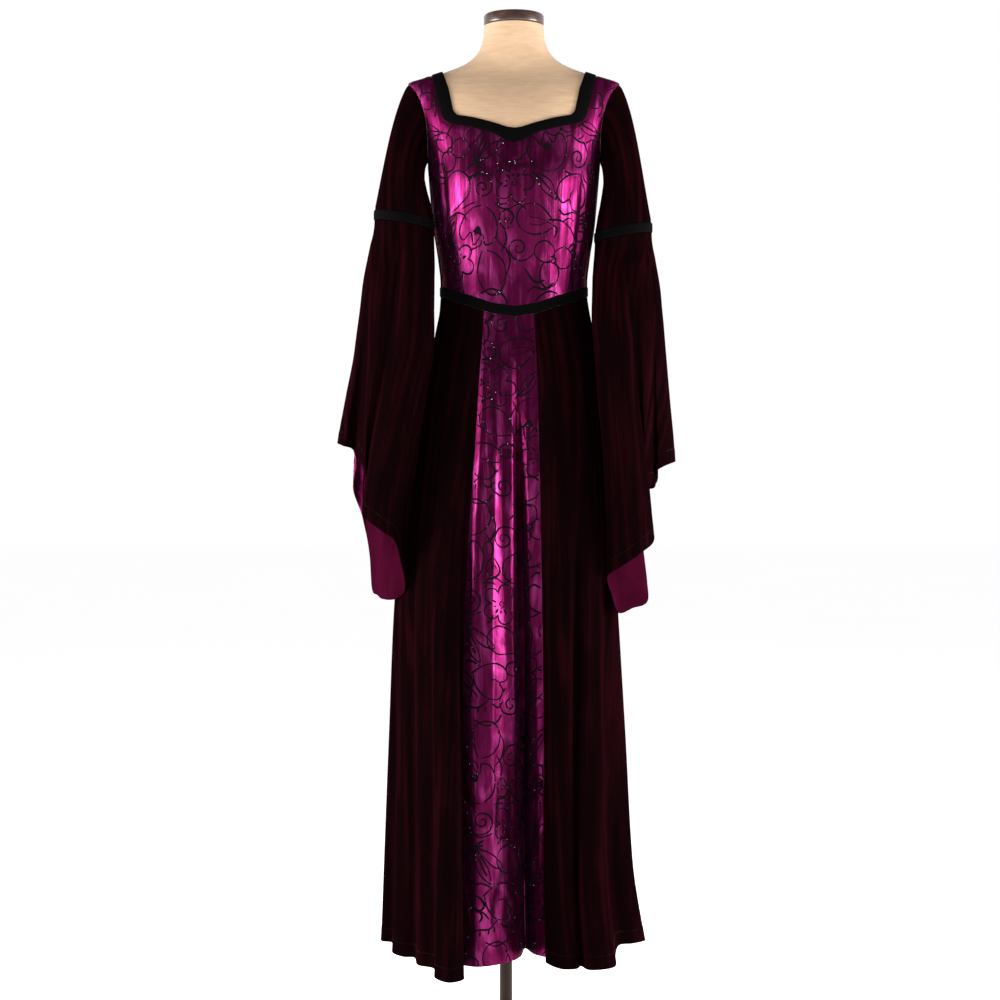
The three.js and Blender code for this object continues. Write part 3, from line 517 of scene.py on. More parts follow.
class Nodes:
    """Builds the node tree of one material or world."""

    def __init__(self, owner, shader="Principled BSDF"):
        owner.use_nodes = True
        self.owner, self.tree = owner, owner.node_tree
        self.shader = self.tree.nodes[shader]

    def put(self, socket, value):
        if isinstance(value, bpy.types.NodeSocket):
            self.tree.links.new(value, socket)
        else:
            socket.default_value = value

    def fill(self, node, inputs):
        for key, value in inputs.items():
            self.put(node.inputs[key.replace("_", " ")], value)

    def add(self, kind, settings=None, **inputs):
        node = self.tree.nodes.new(kind)
        for key, value in (settings or {}).items():
            setattr(node, key, value)
        self.fill(node, inputs)
        return node

    def shade(self, **inputs):
        self.fill(self.shader, inputs)

    def place(self, *scale):
        """Stretched coordinates: the flat cloth's own for two scales, the object's for three."""
        if len(scale) == 2:
            place = self.add("ShaderNodeAttribute", {"attribute_name": "cloth"}).outputs["Vector"]
        else:
            place = self.add("ShaderNodeTexCoord").outputs["Object"]
        stretch = self.add("ShaderNodeVectorMath", {"operation": "MULTIPLY"})
        self.put(stretch.inputs[0], place)
        stretch.inputs[1].default_value = (*scale, 1)[:3]
        return stretch.outputs["Vector"]

    def noise(self, scale, detail=2, distortion=0):
        place = self.place(*scale)
        settings = {"Scale": 1, "Detail": detail, "Roughness": 0.55, "Distortion": distortion}
        return self.add("ShaderNodeTexNoise", Vector=place, **settings).outputs["Fac"]

    def waves(self, place, direction, scale, distortion):
        settings = {"wave_type": "BANDS", "bands_direction": direction}
        wave = self.add("ShaderNodeTexWave", settings, Vector=place, Scale=scale, Distortion=distortion)
        return wave.outputs["Fac"]

    def ramp(self, factor, stops):
        node = self.add("ShaderNodeValToRGB", Fac=factor)
        ramp = node.color_ramp
        for i, (place, colour) in enumerate(stops):
            stop = ramp.elements[i] if i < 2 else ramp.elements.new(place)
            stop.position = place
            stop.color = (*colour, 1)
        return node.outputs["Color"]

    def level(self, factor, low, high):
        return self.add("ShaderNodeMapRange", Value=factor, To_Min=low, To_Max=high).outputs["Result"]

    def sum(self, a, b, weight):
        """a + b * weight"""
        node = self.add("ShaderNodeMath", {"operation": "MULTIPLY_ADD"})
        for socket, value in zip(node.inputs, (b, weight, a)):
            self.put(socket, value)
        return node.outputs["Value"]

    def bump(self, height, distance, strength):
        node = self.add("ShaderNodeBump", Height=height, Distance=distance, Strength=strength)
        self.shade(Normal=node.outputs["Normal"])


def material_nodes(name):
    return Nodes(bpy.data.materials.new(name))


def grained_material(name, noise, stops, bump=None, **shading):
    """One noise gives the colour, the bump and, where roughness is a pair, the roughness."""
    n = material_nodes(name)
    grain = n.noise(*noise)
    if isinstance(shading["Roughness"], tuple):
        shading["Roughness"] = n.level(grain, *shading["Roughness"])
    n.shade(Base_Color=n.ramp(grain, stops), **shading)
    if bump:
        n.bump(grain, *bump)
    return n.owner


def velvet_material():
    n = material_nodes("dark_velvet")
    streaks = n.noise((60, 2.5), 3, 0.2)
    nap = n.noise((900, 700))
    crush = n.noise((14, 7), 3)
    colour = n.ramp(n.sum(streaks, crush, 0.5), [
        (0.4, (0.0013, 0.0005, 0.0006)), (0.75, (0.0030, 0.0007, 0.0010)), (1, (0.010, 0.0012, 0.0022)),
    ])
    n.shade(Base_Color=colour, Roughness=0.85, Specular_IOR_Level=0)
    n.shade(Sheen_Weight=0.035, Sheen_Roughness=0.3, Sheen_Tint=(0.6, 0.04, 0.10, 1))
    n.bump(n.sum(streaks, nap, 0.35), 0.0012, 0.6)
    return n.owner


def reverse_material():
    n = material_nodes("plum_reverse")
    colour = n.ramp(n.noise((20, 8), 3), [(0.3, (0.013, 0.0007, 0.0040)), (0.75, (0.032, 0.0016, 0.0092))])
    n.shade(Base_Color=colour, Roughness=0.8, Specular_IOR_Level=0)
    n.shade(Sheen_Weight=0.015, Sheen_Tint=(0.6, 0.03, 0.25, 1))
    n.bump(n.noise((700, 700)), 0.0004, 0.5)
    return n.owner


def panne_material():
    n = material_nodes("patterned_panne")
    streaks = n.noise((160, 9), 5, 0.4)
    crush = n.noise((26, 11), 4, 1.2)
    nap = n.noise((1200, 600))
    colour = n.ramp(n.sum(crush, streaks, 0.45), [
        (0.45, (0.040, 0.0020, 0.014)), (0.72, (0.105, 0.0050, 0.044)), (0.98, (0.30, 0.030, 0.16)),
    ])
    n.shade(Base_Color=colour, Metallic=0.9, Roughness=n.level(streaks, 0.24, 0.42))
    n.shade(Specular_IOR_Level=0.3, Specular_Tint=(0.3, 0.05, 0.18, 1))
    n.shade(Sheen_Weight=0.02, Sheen_Roughness=0.4, Sheen_Tint=(0.9, 0.1, 0.6, 1))
    n.bump(n.sum(n.sum(crush, streaks, 0.6), nap, 0.12), 0.0015, 0.8)
    return n.owner


def braid_material():
    n = material_nodes("black_braid")
    ribs = n.waves(n.place(1, 1), "DIAGONAL", 190, 1.5)
    fuzz = n.noise((1500, 1500))
    colour = n.ramp(fuzz, [(0.3, (0.0008, 0.0008, 0.0009)), (0.8, (0.0032, 0.0030, 0.0031))])
    n.shade(Base_Color=colour, Roughness=0.85, Specular_IOR_Level=0.01)
    n.shade(Sheen_Weight=0.006, Sheen_Roughness=0.5)
    n.bump(n.sum(ribs, fuzz, 0.3), 0.0005, 0.8)
    return n.owner


def linen_material():
    n = material_nodes("linen")
    across, up = n.waves(n.place(1, 1), "X", 420, 0.8), n.waves(n.place(1, 1, 1), "Z", 420, 0.8)
    slub = n.noise((40, 40, 260), 4)
    colour = n.ramp(slub, [(0.3, (0.44, 0.285, 0.172)), (0.7, (0.52, 0.35, 0.215))])
    n.shade(Base_Color=colour, Roughness=0.85, Sheen_Weight=0.15)
    n.bump(n.sum(n.sum(across, up, 1), slub, 0.6), 0.0003, 0.5)
    return n.owner


def make_materials():
    return {
        "velvet": velvet_material(),
        "reverse": reverse_material(),
        "panne": panne_material(),
        "braid": braid_material(),
        "flock": grained_material(
            "black_flock", [(1800, 1800, 1800)],
            [(0.3, (0.0025, 0.0008, 0.002)), (0.8, (0.009, 0.002, 0.007))], (0.0002, 0.6),
            Roughness=0.8, Specular_IOR_Level=0.04, Sheen_Weight=0.01,
        ),
        "glitter": grained_material(
            "glitter", [(500, 500, 500), 1], [(0.35, (0.10, 0.09, 0.10)), (0.7, (0.42, 0.40, 0.42))],
            Metallic=0.9, Roughness=(0.12, 0.35),
        ),
        "thread": grained_material(
            "dark_thread", [(900, 900, 900)], [(0.3, (0.012, 0.002, 0.004)), (0.75, (0.035, 0.006, 0.012))],
            Roughness=0.55, Specular_IOR_Level=0.4,
        ),
        "linen": linen_material(),
        "wood": grained_material(
            "dark_wood", [(14, 90, 60), 5, 1.5], [(0.35, (0.016, 0.007, 0.005)), (0.7, (0.06, 0.026, 0.018))],
            (0.0003, 0.4), Roughness=(0.25, 0.4), Coat_Weight=0.4, Coat_Roughness=0.15,
        ),
        "metal": grained_material(
            "dark_metal", [(30, 30, 12), 5], [(0.3, (0.02, 0.012, 0.009)), (0.75, (0.05, 0.032, 0.024))],
            (0.0002, 0.3), Metallic=0.8, Roughness=(0.28, 0.5),
        ),
    }


MATERIALS = make_materials()


# Meshes

def make_mesh(name, vertices, faces, materials, sharp=50, which=None, flat=None):
    """A smooth mesh from places in millimetres; which picks each face's material."""
    mesh = bpy.data.meshes.new(name)
    mesh.from_pydata((np.asarray(vertices) * MM).tolist(), [], [list(map(int, f)) for f in faces])
    for material in materials:
        mesh.materials.append(material)
    if which is not None:
        mesh.polygons.foreach_set("material_index", which.astype(np.int32))
    if flat is not None:
        layer = mesh.attributes.new("cloth", "FLOAT_VECTOR", "POINT")
        layer.data.foreach_set("vector", (np.pad(flat, ((0, 0), (0, 1))) * MM).ravel().astype(np.float32))
    mesh.polygons.foreach_set("use_smooth", np.ones(len(mesh.polygons), bool))
    mesh.set_sharp_from_angle(angle=math.radians(sharp))
    mesh.update()
    return place_object(name, mesh)


def make_piece(name, kinds, vertices, faces, replaces=(), **options):
    """A mesh that rides on the root, with its kinds of material, in place of the CAD nodes it replaces."""
    piece = make_mesh(name, vertices, faces, [MATERIALS[kind] for kind in kinds], **options)
    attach(piece, "root")
    if replaces:
        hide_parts(*replaces)
    return piece


def shell(node, kinds, outer, normal, flat, faces, wall=WALL):
    """A closed shell for a CAD node: outer faces, the same a wall's thickness in, rims between."""
    count = len(outer)
    starts, ends = faces.ravel(), np.roll(faces, -1, axis=1).ravel()
    rim = ~np.isin(starts * count + ends, ends * count + starts)
    a, b = starts[rim], ends[rim]
    rims = np.stack([b, a, a + count, b + count], axis=-1)
    every = faces.tolist() + (faces[:, ::-1] + count).tolist() + rims.tolist()
    vertices = np.concatenate([outer, outer - normal * wall])
    a, b, c = (outer[faces[:, k]] for k in range(3))
    if (np.cross(b - a, c - a) * normal[faces[:, 0]]).sum() <= 0:
        every = [face[::-1] for face in every]
    which = np.repeat([0, 1, 0], [len(faces), len(faces), len(rims)])
    flat = np.concatenate([flat, flat])
    return make_piece(f"cloth_{node}", kinds, vertices, every, [node], which=which, flat=flat)


# Each panel's cloth by its node, for what lies on it
CLOTHS = {}


def panel(node, kinds, cloth, closed=False):
    """A whole cloth as a sewn piece."""
    CLOTHS[node] = cloth
    outer, normal = cloth.outer.reshape(-1, 3), cloth.normal.reshape(-1, 3)
    piece = shell(node, kinds, outer, normal, cloth.flat_places(), cloth.faces(closed))
    width, length = (round(side, 3) for side in cloth.size())
    area = math.floor(min(cloth.area(), width * length) * 10000) / 10000


def cut_panel(node, kinds, cloth, distance, wall=WALL):
    """A sewn piece cut from a larger cloth."""
    CLOTHS[node] = cloth
    outer, normal, flat, faces = cut_cloth(cloth, distance)
    piece = shell(node, kinds, outer, normal, flat, faces, wall)
    a, b, c = (outer[faces[:, k]] for k in range(3))
    area = float(np.linalg.norm(np.cross(b - a, c - a), axis=1).sum()) / 2 * MM * MM


# Outlines that cut the bodice

def outline_distance(x, z, half):
    """Signed distance to a neckline's outline, above zero inside the neck hole."""
    top_x = half[-1][0] + 12
    ring = [(-top_x, NECK_TOP)] + [(-a, b) for a, b in half[:0:-1]] + list(half) + [(top_x, NECK_TOP)]
    ring = np.array(ring, float)
    p = np.stack([x, z], axis=-1)
    nearest = np.full(x.shape, 1e9)
    inside = np.zeros(x.shape, bool)
    for a, b in zip(ring, np.roll(ring, -1, axis=0)):
        run = b - a
        t = np.clip(((p - a) @ run) / (run @ run), 0, 1)
        nearest = np.minimum(nearest, np.linalg.norm(p - a - t[..., None] * run, axis=-1))
        crosses = (a[1] > z) != (b[1] > z)
        with np.errstate(divide="ignore", invalid="ignore"):
            at = a[0] + (z - a[1]) / (b[1] - a[1]) * run[0]
        inside ^= crosses & (x < at)
    return np.where(inside, nearest, -nearest)


def neck_distance(place, which):
    x, y, z = place[..., 0] - BODY_X, place[..., 1], place[..., 2]
    front = outline_distance(x, z, NECK[f"front_{which}"])
    back = outline_distance(x, z, NECK[f"back_{which}"])
    return np.where(y < 0, front, back)


def armhole_distance(place):
    x, y, z = place[..., 0] - BODY_X, place[..., 1], place[..., 2]
    across = (y - ARMHOLE["y"]) / ARMHOLE["depth"]
    up = (z - ARMHOLE["z"]) / ARMHOLE["height"]
    ring = (1 - np.sqrt(across**2 + up**2)) * ARMHOLE["depth"]
    return np.where(np.abs(x) > 90, ring, -100)


# The panne's line pattern: plain flowers, petals, leaves and tendrils, in one charted repeat

# It is charted on a tile of 232 by 290 and laid larger
LAID = 1.2
TILE = (232 * LAID, 290 * LAID)
MOTIF_SCALE = 1.09
# The raised lines: width, step along them, length of their thin ends, and height at edge and middle
LINE = 2.7
STEM_WIDTH = 1.2
LINE_STEP = 1.7
LINE_TAPER = 3
LINE_FOOT = 0.14
LINE_CROWN = 0.5
# How far inside a panel's edge lines and glitter stop
LINE_MARGIN = 0.8
GLITTER_MARGIN = 4


def through(places, closed=False):
    """A smooth line through its places."""
    p = np.array(places, float)
    ends = (p[-1:], p[:2]) if closed else (2 * p[:1] - p[1:2], 2 * p[-1:] - p[-2:-1])
    p = np.concatenate([ends[0], p, ends[1]])
    a, b, c, d = p[:-3, None], p[1:-2, None], p[2:-1, None], p[3:, None]
    t = np.linspace(0, 1, 9)[:-1][None, :, None]
    pull = (c - a) * t + (2 * a - 5 * b + 4 * c - d) * t**2 + (3 * b - a - 3 * c + d) * t**3
    line = (b + pull / 2).reshape(-1, 2)
    return np.concatenate([line, c[-1] if not closed else line[:1]])


def lobed(count, low, high):
    """A closed scalloped outline."""
    a = np.linspace(0, 2 * np.pi, count * 14 + 1)
    r = low + (high - low) * np.abs(np.sin(count * a / 2)) ** 0.7
    return np.stack([r * np.cos(a), r * np.sin(a)], axis=-1)


def curl(turns, start, end, tail=()):
    """A spiral from its eye outwards, then on through its tail."""
    a = np.linspace(0, 2 * np.pi * turns, 9 * int(np.ceil(turns * 1.2)))
    r = start + (end - start) * (a / a[-1])
    line = np.stack([r * np.cos(a), r * np.sin(a)], axis=-1)
    return through(np.concatenate([line, np.array(tail, float).reshape(-1, 2)]))


def turned_line(line, turn, size=1.0, at=(0, 0)):
    c, s = math.cos(math.radians(turn)) * size, math.sin(math.radians(turn)) * size
    return np.asarray(line) @ np.array([[c, s], [-s, c]]) + np.array(at, float)


PETAL = through([
    (-0.06, -1), (-0.5, -0.62), (-0.78, 0.02), (-0.62, 0.7), (-0.05, 1), (0.56, 0.76), (0.76, 0.08),
    (0.42, -0.6), (0.08, -1.03),
])
ROUND_PETAL = through([
    (-0.1, 0), (-0.42, 0.3), (-0.46, 0.78), (-0.06, 1.06), (0.38, 0.84), (0.42, 0.34), (0.08, 0),
])


def fan(count, first, last, start, end):
    """Short thick strokes spread like stamens, wider at their heads."""
    lines = []
    for k, a in enumerate(np.radians(np.linspace(first, last, count))):
        reach = end * (1 - 0.16 * (k % 2))
        way = np.array([math.sin(a), math.cos(a)])
        lines.append((np.linspace(start, reach, 6)[:, None] * way, 1.5))
    return lines


MOTIFS = {
    "petal": [(PETAL, 1.0)],
    "veined": [
        (PETAL, 1.1), (through([(0, -0.9), (0.1, -0.3), (0.04, 0.35)]), 0.8),
        (through([(0, -0.6), (-0.26, -0.12), (-0.3, 0.3)]), 0.6),
    ],
    "notched": [
        (through([
            (0.02, -1), (-0.6, -0.6), (-0.92, 0.05), (-0.76, 0.66), (-0.3, 0.8), (0.02, 0.5), (0.3, 0.86),
            (0.78, 0.66), (0.9, 0.02), (0.55, -0.62), (-0.04, -1.05),
        ]), 1.1),
        (through([(0.02, 0.5), (0.1, 0.2), (0.02, -0.06)]), 0.9),
    ],
    "flower": [(lobed(5, 0.56, 1.0), 1.05), (curl(1.2, 0.04, 0.2), 0.9)] + fan(5, -70, 70, 0.3, 0.56),
    "trefoil": [
        (turned_line(ROUND_PETAL, -62), 1.05), (turned_line(ROUND_PETAL, 58), 1.05),
        (turned_line(ROUND_PETAL, 176), 1.0), (turned_line(curl(1.3, 0.03, 0.2), 40), 1.1),
    ],
    "bell": [
        (through([
            (-0.1, -1), (-0.62, -0.7), (-0.95, -0.1), (-0.92, 0.56), (-0.56, 0.8), (-0.28, 0.36),
            (0.02, 0.96), (0.34, 0.4), (0.66, 0.84), (0.98, 0.5), (0.9, -0.2), (0.56, -0.74), (0.08, -1.02),
        ]), 1.0),
    ] + fan(4, -28, 30, 0.02, 0.5),
    "leaf": [
        (through([
            (-1, 0), (-0.45, 0.36), (0.15, 0.4), (0.66, 0.2), (1.04, 0.02), (0.6, -0.2), (0.05, -0.34),
            (-0.5, -0.26),
        ], closed=True), 1.0),
        (through([(-1.3, -0.12), (-0.7, -0.02), (0, 0.04), (0.62, 0)]), 1.3),
    ],
    "leaves": [
        (through([
            (0.04, -1), (-0.36, -0.4), (-0.5, 0.3), (-0.28, 0.96), (0, 0.3), (0.04, -0.4), (0.06, -0.98),
        ]), 1.0),
        (through([
            (0.06, -1), (0.16, -0.3), (0.36, 0.36), (0.82, 0.72), (0.72, 0), (0.46, -0.56), (0.08, -1),
        ]), 1.0),
        (through([(-0.06, -0.7), (-0.2, 0), (-0.24, 0.5)]), 1.3),
    ],
    "curl": [(curl(1.5, 0.06, 0.74, [(-0.66, -0.6), (-0.05, -1.06), (0.95, -0.98)]), 1.15)],
    "hook": [
        (through([
            (-1.15, -0.5), (-0.6, -0.06), (0, 0.02), (0.6, -0.14), (0.98, 0.16), (0.78, 0.52), (0.5, 0.3),
        ]), 1.3),
        (through([(-0.5, -0.02), (-0.36, 0.34), (-0.04, 0.44)]), 1.0),
    ],
    "sprig": [(through([(-1.1, 0.2), (-0.4, 0.02), (0.3, 0.1), (1.05, -0.3)]), 1.1)] + [
        (turned_line([(0, 0.1), (0, 0.2), (0, 0.42)], 20, at=(x, 0)), 1.6) for x in (-0.7, -0.2, 0.3, 0.7)
    ],
    "stamens": fan(5, -58, 58, 0.15, 1.0) + [(through([(0, 0.15), (-0.1, -0.4), (0.16, -0.9)]), 1.3)],
    "bud": [(through([(0, -1), (-0.7, -0.2), (-0.5, 0.7), (0.2, 0.9), (0.74, 0.2)], closed=True), 1.2),
            (curl(1.1, 0.04, 0.3), 1.2)],
}
# Each motif: kind, place of its middle, size, turn
PATTERN = [
    ("flower", 26, 30, 24, 10), ("petal", 74, 20, 23, 200), ("curl", 112, 46, 16, 30),
    ("trefoil", 160, 30, 27, -15), ("leaves", 206, 28, 23, 20), ("leaf", 14, 74, 19, 60),
    ("bell", 58, 76, 25, 165), ("bud", 96, 84, 12, 0), ("veined", 136, 84, 24, 75),
    ("hook", 186, 74, 26, -40), ("stamens", 218, 84, 14, 100), ("petal", 24, 124, 25, -20),
    ("curl", 64, 126, 16, 200), ("flower", 106, 132, 25, 40), ("leaf", 150, 128, 19, -50),
    ("notched", 192, 124, 25, 150), ("stamens", 52, 158, 14, -60), ("trefoil", 16, 180, 26, 100),
    ("leaves", 66, 184, 23, -30), ("petal", 106, 182, 22, 120), ("bell", 152, 176, 26, 10),
    ("curl", 198, 170, 17, 120), ("bud", 228, 154, 11, 40), ("hook", 36, 222, 27, 20),
    ("notched", 86, 232, 24, -70), ("bud", 122, 218, 12, 90), ("flower", 166, 226, 26, 70),
    ("leaf", 212, 214, 19, 160), ("veined", 20, 262, 23, 150), ("sprig", 60, 266, 22, -10),
    ("curl", 114, 266, 16, 300), ("petal", 150, 270, 19, -100), ("trefoil", 202, 258, 25, 200),
]
STEMS = [
    [(44, 44), (60, 50), (62, 58)], [(88, 40), (96, 56), (94, 70)], [(120, 20), (134, 8), (148, 8)],
    [(34, 100), (42, 104), (54, 108)], [(80, 104), (92, 104), (98, 106)], [(162, 60), (166, 72), (160, 78)],
    [(128, 150), (134, 160), (136, 166)], [(84, 158), (90, 152), (92, 146)],
    [(172, 152), (182, 148), (186, 146)], [(196, 196), (204, 200), (206, 204)],
    [(128, 200), (140, 206), (146, 210)], [(52, 240), (58, 250), (54, 258)],
    [(178, 250), (184, 252), (190, 248)], [(84, 262), (94, 268), (102, 260)],
    [(132, 262), (138, 252), (150, 250)], [(92, 8), (101, 26), (96, 44), (84, 56), (84, 70)],
    [(184, 48), (196, 57), (214, 58), (232, 50), (248, 56)],
    [(4, 98), (12, 90), (24, 95), (36, 92), (40, 84)],
    [(84, 112), (87, 100), (100, 98), (112, 104), (122, 98)],
    [(168, 99), (176, 92), (190, 96), (206, 92), (214, 98), (228, 97)],
    [(36, 150), (46, 141), (60, 147), (78, 142)], [(212, 146), (218, 138), (228, 137), (242, 144)],
    [(40, 198), (48, 208), (60, 207), (72, 213)],
    [(176, 197), (186, 201), (196, 194), (210, 192), (222, 198), (238, 196)],
    [(132, 249), (146, 253), (160, 254)], [(227, 230), (231, 244), (224, 258)],
    [(36, 244), (46, 239), (60, 246), (67, 255)], [(60, 284), (76, 291), (92, 286), (99, 277)],
    [(124, 288), (134, 293), (148, 289), (162, 294)],
]


def pattern_strokes():
    """The repeat's lines in millimetres, each with its width along it."""
    drawn = [
        (turned_line(line, turn, size * MOTIF_SCALE, (x, y)), wide)
        for kind, x, y, size, turn in PATTERN for line, wide in MOTIFS[kind]
    ]
    drawn += [(through(line), STEM_WIDTH) for line in STEMS]
    strokes = []
    for line, wide in drawn:
        line = line * LAID
        reach = np.concatenate([[0], np.cumsum(np.linalg.norm(np.diff(line, axis=0), axis=1))])
        steps = np.linspace(0, reach[-1], max(4, int(round(reach[-1] / LINE_STEP)) + 1))
        line = np.stack([np.interp(steps, reach, line[:, k]) for k in (0, 1)], axis=-1)
        from_end = np.minimum(steps, reach[-1] - steps)
        swell = 0.88 + 0.2 * np.sin(steps / 9 + line[0, 0])
        taper = 0.4 + 0.6 * np.clip(from_end / LINE_TAPER, 0, 1)
        strokes.append((line, LINE * wide * swell * taper))
    return strokes


def repeats_over(cloth, shift):
    """The repeat's strokes laid over a whole cloth: rails of left, middle and right, with each end."""
    low = np.array([cloth.flat_x.min(), cloth.down.min()])
    high = np.array([cloth.flat_x.max(), cloth.down.max()])
    first, last = ((side - shift) // TILE for side in (low, high))
    rails, ends, count = [], [], 0
    strokes = pattern_strokes()
    for tile in np.ndindex(*(last - first + 3).astype(int)):
        for line, widths in strokes:
            placed = line + np.array(shift) + np.array(TILE) * (first - 1 + tile)
            if (placed.max(axis=0) < low).any() or (placed.min(axis=0) > high).any():
                continue
            way = np.gradient(placed, axis=0)
            way /= np.linalg.norm(way, axis=1, keepdims=True)
            aside = np.stack([-way[:, 1], way[:, 0]], axis=-1) * widths[:, None] / 2
            rails.append(np.stack([placed - aside, placed, placed + aside], axis=1))
            count += len(placed)
            ends.append(count - 1)
    return np.concatenate(rails), ends


def lay_lines(name, cloth, shift, side=1):
    """Soft raised lines of the repeat over one panel; returns places for the glitter."""
    rails, ends = repeats_over(cloth, shift)
    place, normal, depth = cloth.look_up(rails[..., 0].ravel(), rails[..., 1].ravel())
    place, normal, depth = place.reshape(-1, 3, 3), normal.reshape(-1, 3, 3), depth.reshape(-1, 3).max(axis=1)
    if side < 0:
        place, normal = place - normal * WALL, -normal
    place = place + normal * np.array([LINE_FOOT, LINE_CROWN, LINE_FOOT])[None, :, None]
    inside = depth < -LINE_MARGIN
    goes_on = np.ones(len(inside), bool)
    goes_on[ends] = False
    i = np.nonzero(inside[:-1] & inside[1:] & goes_on[:-1])[0]
    quads = np.concatenate([
        np.stack([i * 3 + k, i * 3 + k + 1, i * 3 + k + 4, i * 3 + k + 3], axis=-1) for k in (0, 1)
    ])
    used, quads = np.unique(quads, return_inverse=True)
    quads = quads.reshape(-1, 4)
    vertices, facing = place.reshape(-1, 3)[used], normal.reshape(-1, 3)[used]
    a, b, c = (vertices[quads[:, k]] for k in range(3))
    outward = (np.cross(b - a, c - a) * facing[quads[:, 0]]).sum(axis=1) > 0
    quads[~outward] = quads[~outward][:, ::-1]
    make_piece(name, ["flock"], vertices, quads.tolist(), sharp=80)
    chosen = depth < -GLITTER_MARGIN
    return place[chosen, 1], normal[chosen, 1]


def scatter_glitter(name, places, normals, count, seed):
    """Little faceted dots of five sizes, stuck along the lines."""
    chosen = np.random.default_rng(seed).choice(len(places), count, replace=False)
    vertices, faces = [], []
    for k, (place, normal) in enumerate(zip(places[chosen], normals[chosen])):
        across = np.cross(normal, (0.3, 0.2, 0.9))
        across /= np.linalg.norm(across)
        up = np.cross(across, normal)
        size = 0.55 + 0.3 * (k % 5) / 4
        base = len(vertices)
        turns = np.linspace(0, 2 * np.pi, 6)[:-1]
        vertices += [place + size * (across * math.cos(a) + up * math.sin(a)) for a in turns]
        vertices += [place + normal * size * 0.9, place - normal * 0.2]
        for m in range(5):
            n = (m + 1) % 5
            faces += [(base + m, base + n, base + 5), (base + n, base + m, base + 6)]
    make_piece(name, ["glitter"], vertices, faces, sharp=10)


def hem_line(cloth, closed):
    """Points and normals along the stitching line above a panel's hem."""
    places, normals = [], []
    for above, outer, normal in zip(cloth.from_hem, cloth.outer, cloth.normal):
        j = np.searchsorted(-above, -STITCH_LINE)
        t = (above[j - 1] - STITCH_LINE) / (above[j - 1] - above[j])
        places.append(outer[j - 1] * (1 - t) + outer[j] * t)
        normals.append(normal[j - 1] * (1 - t) + normal[j] * t)
    if closed:
        places.append(places[0])
        normals.append(normals[0])
    return np.array(places), np.array(normals)


def stitches(name, nodes):
    """A row of raised stitches above each panel's hem."""
    vertices, faces = [], []
    for node in nodes:
        places, normals = hem_line(CLOTHS[node], closed=node == "lower_sleeve_right")
        reach = np.concatenate([[0], np.cumsum(np.linalg.norm(np.diff(places, axis=0), axis=1))])

        def at(distance):
            place, normal = (
                np.array([np.interp(distance, reach, row) for row in rows.T]) for rows in (places, normals)
            )
            return place, normal / np.linalg.norm(normal)

        for start in np.arange(1.0, reach[-1] - STITCH["long"] - 1, STITCH["long"] + STITCH["gap"]):
            (a, n), (b, _) = at(start), at(start + STITCH["long"])
            way = (b - a) / np.linalg.norm(b - a)
            aside = np.cross(n, way) * STITCH["wide"] / 2
            middle = (a + b) / 2
            base = len(vertices)
            sunk = n * STITCH["sunk"]
            vertices += [a - sunk, middle - aside, b - sunk, middle + aside, middle + n * STITCH["proud"]]
            faces += [(base + k, base + (k + 1) % 4, base + 4) for k in range(4)]
    make_piece(name, ["thread"], vertices, faces, sharp=60)


# Pieces of the dress

BODICE_PARTS = (("bodice_front", "panne", -102, 102, 1), ("bodice_back", "velvet", 78, 282, -1))
# Rows of the bodice above this height are level, and its rows below fan down to the waist band
LEVEL_FROM = 1262
# Creases: place, start and end are angle and heights on the bodice, angle and shares on the sleeve
BODICE_CREASES = {
    "bodice_front": table("place start end height width lean", [
        (-62, 1245, 1420, 1.6, 3, 2), (-54, 1260, 1450, -1.3, 2.6, -2), (-46, 1250, 1360, 1.4, 3, 3),
        (-72, 1300, 1440, 1.5, 2.6, 1), (-30, 1240, 1310, 1.2, 3.4, 3), (2, 1330, 1410, 0.9, 2.2, 1),
        (28, 1240, 1300, 1.4, 3, -3), (44, 1245, 1370, 1.5, 3, -2), (52, 1250, 1450, -1.4, 2.6, 2),
        (60, 1245, 1430, 1.8, 3, -1), (70, 1290, 1450, 1.4, 2.6, -2), (15, 1240, 1290, -1.1, 2.6, 2),
        (-12, 1240, 1280, 1, 2.6, -2), (-67, 1240, 1400, 1.5, 2, 1), (-58, 1330, 1470, 1.5, 2, -1),
        (-50, 1290, 1440, 1.3, 1.9, 1), (-38, 1300, 1420, 1.1, 2.2, 2), (-7, 1350, 1420, 1.3, 1.8, 0),
        (9, 1240, 1300, 1.3, 1.8, 1), (22, 1240, 1310, 1.4, 2, -1), (35, 1290, 1420, 1.3, 2, -1),
        (41, 1320, 1450, 1.6, 1.9, 1), (48, 1240, 1380, 1.5, 1.9, -1), (56, 1300, 1440, 1.4, 1.9, 1),
        (65, 1240, 1400, 1.6, 2, -1), (76, 1250, 1400, 1.4, 2.2, 0),
    ]),
    "bodice_back": table("place start end height width lean", [
        (130, 1240, 1400, 1.6, 4, 3), (150, 1240, 1330, 1.8, 4, -3), (172, 1240, 1300, 1.4, 4, 2),
        (196, 1240, 1340, 1.6, 4, 3), (215, 1240, 1400, 1.7, 4, -3), (236, 1250, 1420, 1.4, 4, 2),
    ]),
}
UPPER_SLEEVE_CREASES = table("place start end height width lean", [
    (30, 0.15, 0.95, 1.8, 9, 12), (66, 0.3, 1, -1.6, 8, -8), (98, 0.1, 0.9, 2, 10, 10),
    (128, 0.35, 1, 1.7, 8, -8), (165, 0.5, 1, 1.8, 9, 6), (205, 0.4, 1, 1.9, 9, -9),
    (245, 0.2, 0.95, 1.7, 9, 10), (285, 0.3, 1, -1.6, 8, -6), (320, 0.2, 0.9, 1.8, 9, 8),
])


